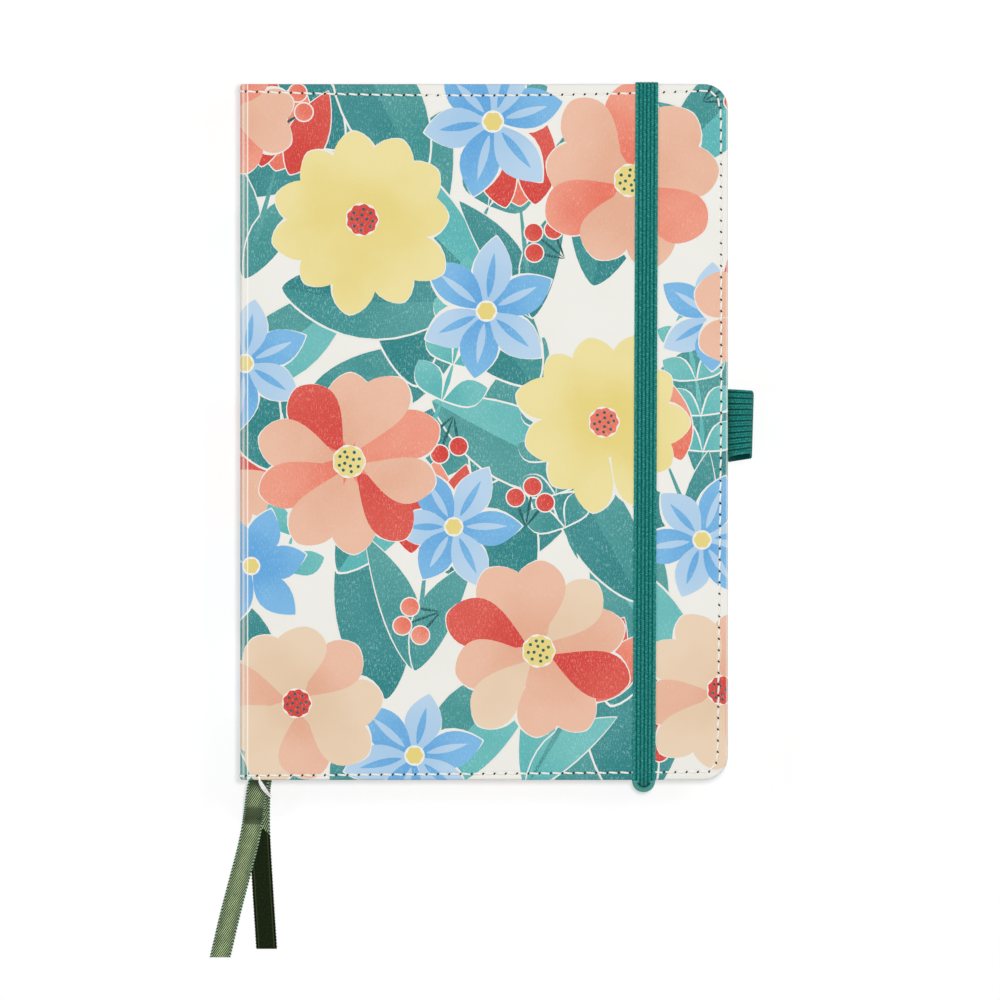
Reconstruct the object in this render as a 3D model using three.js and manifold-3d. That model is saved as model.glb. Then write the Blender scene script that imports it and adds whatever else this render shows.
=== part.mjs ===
// A dot grid journal with a hard cover, an elastic closure band, a pen loop and two ribbon markers.
// Millimetres. The origin is the middle of the back cover's outer face, which lies on the table.
// +X points to the fore-edge, -X to the spine, +Y to the head, +Z to the front cover.
import * as THREE from "three";
import { mergeVertices } from "three/addons/utils/BufferGeometryUtils.js";
import Module from "manifold-3d";

const wasm = await Module();
wasm.setup();

// Driving dimensions of the case
const COVER_WIDTH = 149.3;
const COVER_HEIGHT = 213;
const COVER_CORNER = 6.7;
const EDGE_ROUNDING = 0.7;
const SKIN = 0.5;
const BOARD = 1.8;
const SPINE_BOARD = 1.0;
const TURN_IN = 0.4;
const TURN_IN_WIDTH = 15;
const LINING = 0.2;
const LINING_MARGIN = 3;
const SPINE_ROUNDING = 2;

// Clearances
const SEAT = 0.05;
const PLAY = 0.3;

// Driving dimensions of the text block
const SIGNATURE_COUNT = 12;
const SIGNATURE = 0.8;
const LEAF_COUNT = 4;
const LEAF = 0.15;
const SQUARE = 3;
const PAGE_CORNER = 5.5;
const HEADBAND_BEAD = 1.0;
const HEADBAND_TAPE = 8;
const MULL = 0.25;
const SPINE_LINER = 0.2;
const THREAD = 0.35;
const THREAD_STATIONS = [-75, -25, 25, 75];
const THREAD_SWAY = 0.8;

// Driving dimensions of the back pocket
const POCKET_CARD = 0.3;
const POCKET_WIDTH = 113;
const POCKET_HEIGHT = 198;
const POCKET_FOLD_INSET = 6.5;
const GUSSET = 0.2;
const GUSSET_WIDTH = 10;

// Driving dimensions of the elastic band and the pen loop
const BAND_INSET = 25.25;
const BAND_WIDTH = 7;
const BAND = 0.6;
const BAND_BULGE = 3.3;
const TAB = 0.4;
const TAB_LENGTH = 12;
const LOOP_REACH = 8.3;
const LOOP_HEIGHT = 9;
const LOOP_WALL = 0.9;
const LOOP_LENGTH = 20.8;
const LOOP_MIDDLE = 1.6;
const LOOP_SKEW = 1.7;

// Driving dimensions of the ribbon markers
const RIBBON_WIDTH = 6.2;
const RIBBON = 0.3;
const RIBBON_A_BELOW = 7;
const RIBBON_B_BELOW = 4;
const RIBBON_A_INSET = 4.05;
const RIBBON_B_INSET = 4.25;

// Levels from the table upwards, and lines from the spine inwards, all worked out from the sizes above
const BOARD_LEVEL = SKIN + SEAT;
const TURN_IN_LEVEL = BOARD_LEVEL + BOARD + SEAT;
const WRAP_TOP = TURN_IN_LEVEL + TURN_IN;
const LINING_LEVEL = WRAP_TOP + SEAT;
const COVER_TOP = LINING_LEVEL + LINING;
const GUSSET_LEVEL = COVER_TOP + SEAT;
const POCKET_LEVEL = GUSSET_LEVEL + GUSSET + SEAT;
const BACK_FLYLEAF_LEVEL = POCKET_LEVEL + POCKET_CARD + 2 * SEAT;
const BLOCK_LEVEL = BACK_FLYLEAF_LEVEL + LEAF + SEAT;
const SIGNATURE_PITCH = SIGNATURE + SEAT;
const RIBBON_SLOT = RIBBON + SEAT;
const BLOCK_TOP = BLOCK_LEVEL + SIGNATURE_COUNT * SIGNATURE_PITCH + 2 * RIBBON_SLOT;
const LEAF_PITCH = LEAF + SEAT;
const FLYLEAF_LEVEL = BLOCK_TOP + LEAF_COUNT * LEAF_PITCH;
const THICKNESS = FLYLEAF_LEVEL + LEAF_PITCH + SEAT + COVER_TOP;

const SPINE_FACE = -COVER_WIDTH / 2;
const FORE_EDGE = COVER_WIDTH / 2;
const HEAD = COVER_HEIGHT / 2;
const HINGE_LINE = SPINE_FACE + SPINE_ROUNDING;
const COVER_START = HINGE_LINE + 2 * PLAY;
const SPINE_BOARD_LINE = SPINE_FACE + SKIN + SEAT;
const SPINE_TURN_IN_LINE = SPINE_BOARD_LINE + SPINE_BOARD + SEAT;
const SPINE_BACK = SPINE_TURN_IN_LINE + TURN_IN;
const LINER_LINE = SPINE_BACK + SEAT;
const MULL_LINE = LINER_LINE + SPINE_LINER + SEAT;
const THREAD_LINE = MULL_LINE + MULL + SEAT;
const BLOCK_START = THREAD_LINE + THREAD + SEAT;
const BLOCK_END = FORE_EDGE - SQUARE;
const BLOCK_HEAD = HEAD - SQUARE;
const SPINE_LOW = SPINE_ROUNDING + PLAY;
const SPINE_HIGH = THICKNESS - SPINE_ROUNDING - PLAY;
const BAND_CENTRE = FORE_EDGE - BAND_INSET;

const CORNER_STEPS = 6;
const COLOURS = {
  leatherette: { color: 0xf0efea, roughness: 0.45, metalness: 0 },
  board: { color: 0x9a958a, roughness: 0.95, metalness: 0 },
  paper: { color: 0xf3efe2, roughness: 0.9, metalness: 0 },
  endpaper: { color: 0xe9e6da, roughness: 0.85, metalness: 0 },
  elastic: { color: 0x187a6a, roughness: 0.7, metalness: 0 },
  satin: { color: 0x4b6e41, roughness: 0.4, metalness: 0 },
  cloth: { color: 0xd8cfba, roughness: 0.95, metalness: 0 },
  thread: { color: 0xeee8dc, roughness: 0.6, metalness: 0 },
};

const journal = new THREE.Group();

function add(name, finish, geometry) {
  const mesh = new THREE.Mesh(geometry, new THREE.MeshStandardMaterial(COLOURS[finish]));
  mesh.name = name;
  journal.add(mesh);
  return mesh;
}

// Closed geometry to a solid that can be cut, and back
function solid(geometry) {
  const bare = geometry.clone();
  bare.deleteAttribute("normal");
  bare.deleteAttribute("uv");
  const merged = mergeVertices(bare, 1e-4);
  return new wasm.Manifold(
    new wasm.Mesh({
      numProp: 3,
      vertProperties: new Float32Array(merged.attributes.position.array),
      triVerts: new Uint32Array(merged.index.array),
    }),
  );
}

function geometryOf(body) {
  const mesh = body.getMesh();
  const geometry = new THREE.BufferGeometry();
  geometry.setAttribute("position", new THREE.BufferAttribute(mesh.vertProperties, 3));
  geometry.setIndex(new THREE.BufferAttribute(mesh.triVerts, 1));
  geometry.computeVertexNormals();
  return geometry;
}

// A box from its lowest to its highest corner
function block(low, high) {
  const size = high.map((value, i) => value - low[i]);
  const geometry = new THREE.BoxGeometry(...size);
  geometry.translate(...low.map((value, i) => value + size[i] / 2));
  return geometry;
}

// A leaf's outline: square at the spine, rounded at the two fore-edge corners
function leafOutline(left, right, halfHeight, corner) {
  const shape = new THREE.Shape();
  shape.moveTo(left, -halfHeight);
  shape.lineTo(right - corner, -halfHeight);
  shape.absarc(right - corner, corner - halfHeight, corner, -Math.PI / 2, 0, false);
  shape.lineTo(right, halfHeight - corner);
  shape.absarc(right - corner, halfHeight - corner, corner, 0, Math.PI / 2, false);
  shape.lineTo(left, halfHeight);
  shape.closePath();
  return shape;
}

// A shape in X and Y given a thickness between two levels
function plate(shape, low, high) {
  const geometry = new THREE.ExtrudeGeometry(shape, {
    depth: high - low,
    bevelEnabled: false,
    curveSegments: CORNER_STEPS,
  });
  geometry.translate(0, 0, low);
  return geometry;
}

// The same with rounded upper and lower edges
function softPlate(shape, low, high, rounding) {
  const geometry = new THREE.ExtrudeGeometry(shape, {
    depth: high - low - 2 * rounding,
    bevelThickness: rounding,
    bevelSize: rounding,
    bevelOffset: -rounding,
    bevelSegments: 3,
    curveSegments: CORNER_STEPS,
  });
  geometry.translate(0, 0, low + rounding);
  return geometry;
}

// A section in X and Z run along Y
function alongY(shape, low, high, steps = CORNER_STEPS) {
  const geometry = new THREE.ExtrudeGeometry(shape, {
    depth: high - low,
    bevelEnabled: false,
    curveSegments: steps,
  });
  geometry.rotateX(Math.PI / 2);
  geometry.translate(0, high, 0);
  return geometry;
}

// A bent sheet of even thickness: face(u, v, side) gives its outer face (side 1) and inner face (side 0)
function bentSheet(rows, columns, face) {
  const points = [];
  const index = [];
  const width = columns + 1;
  const layer = (rows + 1) * width;
  for (const side of [1, 0]) {
    for (let i = 0; i <= rows; i++) {
      for (let j = 0; j <= columns; j++) {
        points.push(...face(i / rows, j / columns, side));
      }
    }
  }
  const quad = (a, b, c, d) => index.push(a, b, c, a, c, d);
  for (let i = 0; i < rows; i++) {
    for (let j = 0; j < columns; j++) {
      const a = i * width + j;
      quad(a, a + width, a + width + 1, a + 1);
      quad(layer + a, layer + a + 1, layer + a + width + 1, layer + a + width);
    }
    const left = i * width;
    const right = left + columns;
    quad(left, layer + left, layer + left + width, left + width);
    quad(right, right + width, layer + right + width, layer + right);
  }
  for (let j = 0; j < columns; j++) {
    const last = rows * width + j;
    quad(j, j + 1, layer + j + 1, layer + j);
    quad(last, layer + last, layer + last + 1, last + 1);
  }
  const geometry = new THREE.BufferGeometry();
  geometry.setAttribute("position", new THREE.Float32BufferAttribute(points, 3));
  geometry.setIndex(volumeOf(points, index) < 0 ? index.reverse() : index);
  geometry.computeVertexNormals();
  return geometry;
}

function volumeOf(points, index) {
  const corner = (i) => new THREE.Vector3().fromArray(points, 3 * index[i]);
  let sum = 0;
  for (let i = 0; i < index.length; i += 3) {
    sum += corner(i).dot(corner(i + 1).cross(corner(i + 2)));
  }
  return sum / 6;
}

// Points moved sideways off a flat path by a distance, to the right of its direction
function offset(points, distance) {
  return points.map((point, i) => {
    const before = points[Math.max(i - 1, 0)];
    const after = points[Math.min(i + 1, points.length - 1)];
    const along = after.clone().sub(before).normalize();
    return new THREE.Vector2(point.x + along.y * distance, point.y - along.x * distance);
  });
}

// Cover: the leatherette round its board, with turn-ins on three sides, and the lining pasted over them.
// It is made with its outer face down, and the front cover is the same turned over.
function coverWrap(slots) {
  const beyond = COVER_START - 4 * EDGE_ROUNDING;
  const outside = leafOutline(beyond, FORE_EDGE, HEAD, COVER_CORNER);
  const inside = leafOutline(beyond - 1, FORE_EDGE - SKIN, HEAD - SKIN, COVER_CORNER - SKIN);
  const windowEnd = FORE_EDGE - TURN_IN_WIDTH;
  const window = leafOutline(beyond - 1, windowEnd, HEAD - TURN_IN_WIDTH, PLAY);
  let body = solid(softPlate(outside, 0, WRAP_TOP, EDGE_ROUNDING));
  body = body.subtract(solid(block([beyond - 1, -HEAD - 1, -1], [COVER_START, HEAD + 1, WRAP_TOP + 1])));
  body = body.subtract(solid(plate(inside, SKIN, TURN_IN_LEVEL)));
  body = body.subtract(solid(plate(window, BOARD_LEVEL, WRAP_TOP + 1)));
  for (const slot of slots) {
    body = body.subtract(solid(slot));
  }
  return geometryOf(body);
}

function coverBoard() {
  const inset = SKIN + SEAT;
  return plate(
    leafOutline(COVER_START + PLAY, FORE_EDGE - inset, HEAD - inset, COVER_CORNER - inset),
    BOARD_LEVEL,
    BOARD_LEVEL + BOARD,
  );
}

function coverLining() {
  const corner = COVER_CORNER - LINING_MARGIN;
  return plate(
    leafOutline(COVER_START + PLAY, FORE_EDGE - LINING_MARGIN, HEAD - LINING_MARGIN, corner),
    LINING_LEVEL,
    COVER_TOP,
  );
}

// Slots in the back cover's turn-ins for the ends of the band and the tab of the pen loop
function bandSlot(side) {
  const half = BAND_WIDTH / 2 + PLAY;
  const inner = side * (HEAD - TAB_LENGTH - PLAY);
  const outer = side * (HEAD + 1);
  return block(
    [BAND_CENTRE - half, Math.min(inner, outer), TURN_IN_LEVEL - SEAT],
    [BAND_CENTRE + half, Math.max(inner, outer), WRAP_TOP + 1],
  );
}

function loopSlot() {
  const half = LOOP_LENGTH / 2 + PLAY;
  return block(
    [FORE_EDGE - TAB_LENGTH - PLAY, LOOP_MIDDLE - half, TURN_IN_LEVEL - SEAT],
    [FORE_EDGE + 1, LOOP_MIDDLE + half, WRAP_TOP + 1],
  );
}

function addCovers() {
  const slots = [bandSlot(1), bandSlot(-1), loopSlot()];
  add("back_cover_wrap", "leatherette", coverWrap(slots));
  add("back_board", "board", coverBoard());
  add("back_lining", "endpaper", coverLining());
  const front = [
    add("front_cover_wrap", "leatherette", coverWrap([])),
    add("front_board", "board", coverBoard()),
    add("front_lining", "endpaper", coverLining()),
  ];
  for (const mesh of front) {
    mesh.rotation.x = Math.PI;
    mesh.position.z = THICKNESS;
  }
}

// Spine: a stiff strip of board wrapped in the same leatherette, between two bending joints
function spineWrap() {
  const back = SPINE_BACK;
  let body = solid(block([SPINE_FACE, -HEAD, SPINE_LOW], [back, HEAD, SPINE_HIGH]));
  const cavityHead = HEAD - SKIN;
  const openHead = HEAD - TURN_IN_WIDTH;
  const below = SPINE_LOW - 1;
  const above = SPINE_HIGH + 1;
  const skinInside = SPINE_FACE + SKIN;
  body = body.subtract(solid(block([skinInside, -cavityHead, below], [SPINE_TURN_IN_LINE, cavityHead, above])));
  body = body.subtract(solid(block([SPINE_BOARD_LINE, -openHead, below], [back + 1, openHead, above])));
  return geometryOf(body);
}

function spineBoard() {
  const end = HEAD - SKIN - SEAT;
  return block([SPINE_BOARD_LINE, -end, SPINE_LOW], [SPINE_BOARD_LINE + SPINE_BOARD, end, SPINE_HIGH]);
}

// The leatherette that turns the corner from a cover to the spine
function jointStrip() {
  const arcSteps = 8;
  const turn = Math.PI / 2;
  const flat = COVER_START - PLAY;
  const face = (u, v, side) => {
    const radius = side ? SPINE_ROUNDING : SPINE_ROUNDING - SKIN;
    const y = (2 * v - 1) * HEAD;
    if (u === 0) {
      return [flat, y, SPINE_ROUNDING - radius];
    }
    const angle = turn * ((u * (arcSteps + 1) - 1) / arcSteps);
    return [HINGE_LINE - radius * Math.sin(angle), y, SPINE_ROUNDING - radius * Math.cos(angle)];
  };
  return bentSheet(arcSteps + 1, 1, face);
}

function addSpine() {
  add("spine_wrap", "leatherette", spineWrap());
  add("spine_board", "board", spineBoard());
  add("back_joint", "leatherette", jointStrip());
  const front = add("front_joint", "leatherette", jointStrip());
  front.rotation.x = Math.PI;
  front.position.z = THICKNESS;
}

// Text block: folded signatures sewn through their folds, with a cloth mull, a paper liner and two headbands
function signature(level) {
  const fold = SIGNATURE / 2;
  const section = new THREE.Shape();
  section.moveTo(BLOCK_END, level);
  section.lineTo(BLOCK_END, level + SIGNATURE);
  section.lineTo(BLOCK_START + fold, level + SIGNATURE);
  section.absarc(BLOCK_START + fold, level + fold, fold, Math.PI / 2, (3 * Math.PI) / 2, false);
  section.closePath();
  const folded = solid(alongY(section, -BLOCK_HEAD, BLOCK_HEAD));
  const trim = leafOutline(BLOCK_START - 1, BLOCK_END, BLOCK_HEAD, PAGE_CORNER);
  return geometryOf(folded.intersect(solid(plate(trim, level - 1, level + SIGNATURE + 1))));
}

function signatureLevel(i) {
  const slots = (i >= RIBBON_B_BELOW ? 1 : 0) + (i >= RIBBON_A_BELOW ? 1 : 0);
  return BLOCK_LEVEL + i * SIGNATURE_PITCH + slots * RIBBON_SLOT;
}

function looseLeaf(level) {
  const start = BLOCK_START + PLAY;
  return plate(leafOutline(start, BLOCK_END, BLOCK_HEAD, PAGE_CORNER), level, level + LEAF);
}

function spineSheet(line, thickness, halfHeight) {
  return block([line, -halfHeight, BLOCK_LEVEL], [line + thickness, halfHeight, BLOCK_TOP]);
}

// One station of sewing: a thread that swings from fold to fold up the back of the block
function sewingThread(y) {
  const swings = [];
  const line = THREAD_LINE + THREAD / 2;
  const low = BLOCK_LEVEL + THREAD;
  const rise = BLOCK_TOP - BLOCK_LEVEL - 2 * THREAD;
  const turns = 2 * SIGNATURE_COUNT;
  for (let i = 0; i <= turns; i++) {
    const sway = THREAD_SWAY * Math.sin((Math.PI * i) / 2);
    swings.push(new THREE.Vector3(line, y + sway, low + (rise * i) / turns));
  }
  const section = new THREE.Shape();
  section.absarc(0, 0, THREAD / 2, 0, 2 * Math.PI, false);
  return new THREE.ExtrudeGeometry(section, {
    steps: 2 * turns,
    curveSegments: 3,
    extrudePath: new THREE.CatmullRomCurve3(swings),
  });
}

// A headband: a round bead on the edge of the block with a tape glued down its back
function headband(side) {
  const beadMiddle = MULL_LINE + HEADBAND_BEAD / 2;
  const section = new THREE.Shape();
  const beadY = BLOCK_HEAD + SEAT + HEADBAND_BEAD / 2;
  section.absarc(beadMiddle, side * beadY, HEADBAND_BEAD / 2, 0, 2 * Math.PI, false);
  const bead = solid(plate(section, BLOCK_LEVEL, BLOCK_TOP));
  const low = side > 0 ? BLOCK_HEAD - HEADBAND_TAPE : -beadY;
  const high = side > 0 ? beadY : HEADBAND_TAPE - BLOCK_HEAD;
  const tape = solid(block([MULL_LINE, low, BLOCK_LEVEL], [MULL_LINE + MULL, high, BLOCK_TOP]));
  return geometryOf(bead.add(tape));
}

function addTextBlock() {
  for (let i = 0; i < SIGNATURE_COUNT; i++) {
    const name = "signature_" + String(i + 1).padStart(2, "0");
    add(name, "paper", signature(signatureLevel(i)));
  }
  add("back_flyleaf", "endpaper", looseLeaf(BACK_FLYLEAF_LEVEL));
  for (let i = 0; i < LEAF_COUNT; i++) {
    add("leaf_" + (LEAF_COUNT - i), "paper", looseLeaf(BLOCK_TOP + i * LEAF_PITCH));
  }
  add("front_flyleaf", "endpaper", looseLeaf(FLYLEAF_LEVEL));
  THREAD_STATIONS.forEach((y, i) => add("sewing_thread_" + (i + 1), "thread", sewingThread(y)));
  add("spine_mull", "cloth", spineSheet(MULL_LINE, MULL, BLOCK_HEAD - HEADBAND_TAPE - PLAY));
  add("spine_liner", "paper", spineSheet(LINER_LINE, SPINE_LINER, BLOCK_HEAD));
  add("headband", "cloth", headband(1));
  add("tailband", "cloth", headband(-1));
}

// Pocket: a card panel folded along the fore-edge side, with a folded gusset at its head and tail
const POCKET_END = FORE_EDGE - POCKET_FOLD_INSET;
const POCKET_MOUTH = POCKET_END - POCKET_WIDTH;

function pocketPanel() {
  const outline = leafOutline(POCKET_MOUTH, POCKET_END, POCKET_HEIGHT / 2, PAGE_CORNER);
  return plate(outline, POCKET_LEVEL, POCKET_LEVEL + POCKET_CARD);
}

function pocketGusset(side) {
  const outer = side * (POCKET_HEIGHT / 2 - PLAY);
  const inner = outer - side * GUSSET_WIDTH;
  return block(
    [POCKET_MOUTH, Math.min(inner, outer), GUSSET_LEVEL],
    [POCKET_END - PAGE_CORNER, Math.max(inner, outer), GUSSET_LEVEL + GUSSET],
  );
}

function addPocket() {
  add("pocket_panel", "endpaper", pocketPanel());
  add("pocket_gusset_head", "endpaper", pocketGusset(1));
  add("pocket_gusset_tail", "endpaper", pocketGusset(-1));
}

// Closure band: an elastic strap over the front, whose ends are caught under the back lining.
// At the tail it stands off the cover in a rounded bulge. Its path is the middle line of its section in Y and Z.
const BAND_START = TURN_IN_LEVEL + TURN_IN / 2;

function bandPath() {
  const bend = 1.2;
  const reach = HEAD + SEAT + BAND / 2;
  const top = THICKNESS + SEAT + BAND / 2;
  const path = new THREE.Path();
  path.moveTo(-reach, BAND_START);
  const rise = 10;
  for (let i = 1; i <= rise; i++) {
    path.lineTo(-reach, BAND_START + ((top - bend - BAND_START) * i) / rise);
  }
  path.absarc(bend - reach, top - bend, bend, Math.PI, Math.PI / 2, true);
  path.lineTo(reach - bend, top);
  path.absarc(reach - bend, top - bend, bend, Math.PI / 2, 0, true);
  path.lineTo(reach, BAND_START);
  return path.getPoints(4);
}

function closureBand() {
  const middle = bandPath();
  const faces = [offset(middle, BAND / 2), offset(middle, -BAND / 2)];
  const rows = middle.length - 1;
  const columns = 8;
  const standOff = (z, across) => {
    const share = THREE.MathUtils.clamp((z - BAND_START) / (THICKNESS - BAND_START), 0, 1);
    return BAND_BULGE * Math.sin(Math.PI * share) * Math.sqrt(1 - across * across);
  };
  const face = (u, v, side) => {
    const i = Math.round(u * rows);
    const across = -Math.cos(Math.PI * v);
    const point = faces[side][i];
    const bulge = middle[i].x < -HEAD ? standOff(middle[i].y, across) : 0;
    return [BAND_CENTRE + (across * BAND_WIDTH) / 2, point.x - bulge, point.y];
  };
  return bentSheet(rows, columns, face);
}

function bandAnchor(side) {
  const outer = side * (HEAD - PLAY);
  const inner = side * (HEAD - TAB_LENGTH);
  return block(
    [BAND_CENTRE - BAND_WIDTH / 2, Math.min(inner, outer), TURN_IN_LEVEL],
    [BAND_CENTRE + BAND_WIDTH / 2, Math.max(inner, outer), TURN_IN_LEVEL + TAB],
  );
}

// Pen loop: a short tube of elastic, its flattened tab caught under the back lining.
// It is wound a little askew, so its upper layer stands nearer to the head than its lower one.
function penLoop() {
  const centreX = FORE_EDGE + LOOP_REACH - LOOP_REACH / 2 + SEAT;
  const centreZ = LOOP_HEIGHT / 2 + LOOP_WALL / 2;
  const halfX = LOOP_REACH / 2 - SEAT;
  const halfZ = LOOP_HEIGHT / 2;
  const ring = new THREE.Shape();
  ring.absellipse(centreX, centreZ, halfX, halfZ, 0, 2 * Math.PI, false, 0);
  const bore = new THREE.Path();
  bore.absellipse(centreX, centreZ, halfX - LOOP_WALL, halfZ - LOOP_WALL, 0, 2 * Math.PI, true, 0);
  ring.holes.push(bore);
  const low = LOOP_MIDDLE - LOOP_LENGTH / 2;
  const high = LOOP_MIDDLE + LOOP_LENGTH / 2;
  const level = TURN_IN_LEVEL;
  const skew = LOOP_SKEW / LOOP_HEIGHT;
  const askew = alongY(ring, low, high, 32);
  askew.applyMatrix4(new THREE.Matrix4().makeShear(0, 0, 0, 0, 0, skew));
  askew.translate(0, -skew * (level + TAB / 2), 0);
  const tube = solid(askew);
  const tabEnd = centreX - (halfX - LOOP_WALL / 2) * Math.sqrt(1 - ((centreZ - level) / halfZ) ** 2);
  const tab = solid(block([FORE_EDGE - TAB_LENGTH, low, level], [tabEnd, high, level + TAB]));
  return geometryOf(tube.add(tab));
}

function addElastics() {
  add("closure_band", "elastic", closureBand());
  add("band_anchor_head", "elastic", bandAnchor(1));
  add("band_anchor_tail", "elastic", bandAnchor(-1));
  add("pen_loop", "elastic", penLoop());
}

// Ribbon markers: each runs down inside the block, leaves it at the tail and lies on the table.
// The free part is a route of points on its middle line: X and Y from where it leaves the block, and its level.
const RIBBON_A_LINE = BLOCK_START + RIBBON_A_INSET;
const RIBBON_B_LINE = BLOCK_START + RIBBON_B_INSET;
const RIBBON_A_LEVEL = signatureLevel(RIBBON_A_BELOW) - RIBBON_SLOT;
const RIBBON_B_LEVEL = signatureLevel(RIBBON_B_BELOW) - RIBBON_SLOT;
const RIBBON_EXIT = -BLOCK_HEAD - PLAY;
const ON_TABLE = RIBBON / 2 + SEAT;
const RIBBON_A_ROUTE = [
  [0, 0, RIBBON_A_LEVEL + RIBBON / 2],
  [-1.3, -2.8, RIBBON_A_LEVEL - 0.05],
  [-2.1, -6.4, RIBBON_A_LEVEL - 1.05],
  [-2.7, -10.6, 6.9],
  [-3.1, -13.9, 3.6],
  [-3.35, -16.3, 0.95],
  [-4.6, -22.7, 0.75],
  [-6.6, -31.2, 0.35],
  [-9.7, -44.2, ON_TABLE],
  [-12.9, -57, ON_TABLE],
];
const RIBBON_B_ROUTE = [
  [0, 0, RIBBON_B_LEVEL + RIBBON / 2],
  [-0.5, -2.8, RIBBON_B_LEVEL - 0.3],
  [-0.8, -5.7, 4.6],
  [-0.9, -9.2, 1.7],
  [-0.8, -13.7, 0.35],
  [-0.5, -21.2, ON_TABLE],
  [0.2, -37.2, ON_TABLE],
  [1.0, -54.5, ON_TABLE],
];

function ribbonInside(line, level) {
  const half = RIBBON_WIDTH / 2;
  return block([line - half, -BLOCK_HEAD, level], [line + half, BLOCK_HEAD - HEADBAND_TAPE, level + RIBBON]);
}

function ribbonTail(line, route) {
  const steps = 32;
  const places = route.map(([x, y, z]) => new THREE.Vector3(line + x, RIBBON_EXIT + y, z));
  const curve = new THREE.CatmullRomCurve3(places);
  const across = new THREE.Vector3(1, 0, 0);
  const face = (u, v, side) => {
    const normal = across.clone().cross(curve.getTangent(u)).negate().normalize();
    const point = curve.getPoint(u);
    point.addScaledVector(across, (v - 0.5) * RIBBON_WIDTH);
    point.addScaledVector(normal, (side - 0.5) * RIBBON);
    return point.toArray();
  };
  return bentSheet(steps, 2, face);
}

function addRibbons() {
  add("ribbon_a_inside", "satin", ribbonInside(RIBBON_A_LINE, RIBBON_A_LEVEL));
  add("ribbon_b_inside", "satin", ribbonInside(RIBBON_B_LINE, RIBBON_B_LEVEL));
  add("ribbon_a_tail", "satin", ribbonTail(RIBBON_A_LINE, RIBBON_A_ROUTE));
  add("ribbon_b_tail", "satin", ribbonTail(RIBBON_B_LINE, RIBBON_B_ROUTE));
}

addCovers();
addSpine();
addTextBlock();
addPocket();
addElastics();
addRibbons();

export default journal;
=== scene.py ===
# A dot grid journal with a printed leatherette case, an elastic band, a pen loop and two ribbon markers.
# Shapes are worked out in millimetres in the frame of the CAD model and scaled to metres as meshes are made.
import math
import random

import bpy
import numpy as np
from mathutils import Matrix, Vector
from mathutils.geometry import delaunay_2d_cdt


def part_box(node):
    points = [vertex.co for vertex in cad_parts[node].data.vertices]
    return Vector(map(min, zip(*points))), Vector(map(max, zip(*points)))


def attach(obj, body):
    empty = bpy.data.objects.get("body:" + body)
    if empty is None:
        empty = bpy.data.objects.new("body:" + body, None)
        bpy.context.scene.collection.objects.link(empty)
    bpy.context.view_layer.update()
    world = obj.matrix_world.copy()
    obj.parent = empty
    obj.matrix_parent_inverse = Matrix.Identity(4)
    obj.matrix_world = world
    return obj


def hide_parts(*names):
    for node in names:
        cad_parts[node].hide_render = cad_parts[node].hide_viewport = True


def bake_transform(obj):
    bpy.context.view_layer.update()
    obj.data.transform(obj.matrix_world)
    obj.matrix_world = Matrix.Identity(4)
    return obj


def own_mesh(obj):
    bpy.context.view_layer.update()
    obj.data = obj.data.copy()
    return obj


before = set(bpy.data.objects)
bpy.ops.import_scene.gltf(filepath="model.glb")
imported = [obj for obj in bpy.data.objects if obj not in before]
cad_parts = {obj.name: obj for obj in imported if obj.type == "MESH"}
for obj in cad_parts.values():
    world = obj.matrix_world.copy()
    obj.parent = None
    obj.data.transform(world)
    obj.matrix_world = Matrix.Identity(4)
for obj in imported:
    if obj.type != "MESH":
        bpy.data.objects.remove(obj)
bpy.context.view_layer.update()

MM = 0.001
SEED = 7


def span(node):
    low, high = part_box(node)
    return np.array(low) / MM, np.array(high) / MM


front_low, front_high = span("front_cover_wrap")
spine_low, spine_high = span("spine_wrap")
band_low, band_high = span("closure_band")
loop_low, loop_high = span("pen_loop")

# Sizes of the case, taken from its solids
THICKNESS = front_high[2]
FORE_EDGE = front_high[0]
HEAD = front_high[1]
SPINE_FACE = spine_low[0]
WRAP = front_high[2] - front_low[2]
SPINE_EASE = 0.1
SPINE_WRAP = spine_high[0] - spine_low[0] - SPINE_EASE
SPINE_ROUNDING = 2.0
EDGE_ROUNDING = 0.7
COVER_CORNER = 7.4
LEATHER = 0.4
HINGE_LINE = SPINE_FACE + SPINE_ROUNDING

# Sizes that more than one piece shares
HEAD_SEAM = 3.5
SEAM_SAG = 1.0
SEAM_MIDDLE = 68.0
SEAM_SPAN = 61.0
TAIL_SEAM = 1.3
TAIL_SLOPE = 0.0085
EDGE_LINE = 144.95
RIBBON_WIDTH = 6.6
TAB_LEVEL = 2.4
LOOP_HALF = 4.1

# The developed case. Across it, s runs from the fore-edge turn-in of a cover to the middle of the spine;
# t runs along the spine. s is 0 where the cover meets the rounded corner of the spine.
ARC = SPINE_ROUNDING * math.pi / 2
SPINE_MIDDLE = -ARC - (THICKNESS - 2 * SPINE_ROUNDING) / 2
ROLL = EDGE_ROUNDING * math.pi / 2
TURN_IN = 5.0
INSET_EDGE = FORE_EDGE - HINGE_LINE - EDGE_ROUNDING
INSET_HEAD = HEAD - EDGE_ROUNDING
INSET_CORNER = COVER_CORNER - EDGE_ROUNDING
SHEET_MARGIN = 2 * ROLL + WRAP - 2 * EDGE_ROUNDING + TURN_IN
CREASE = -0.95
RIDGE = 0.3
SPINE_SHEEN = -1.05
RIDGE_HEIGHT = 0.05
CREASE_DEPTH = 0.10
DEEPER_FROM = 0.2
PLAIN_WASH = 0.3
BACK_WASH = 0.5
RELIEF_WIDTH = 0.3

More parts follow.
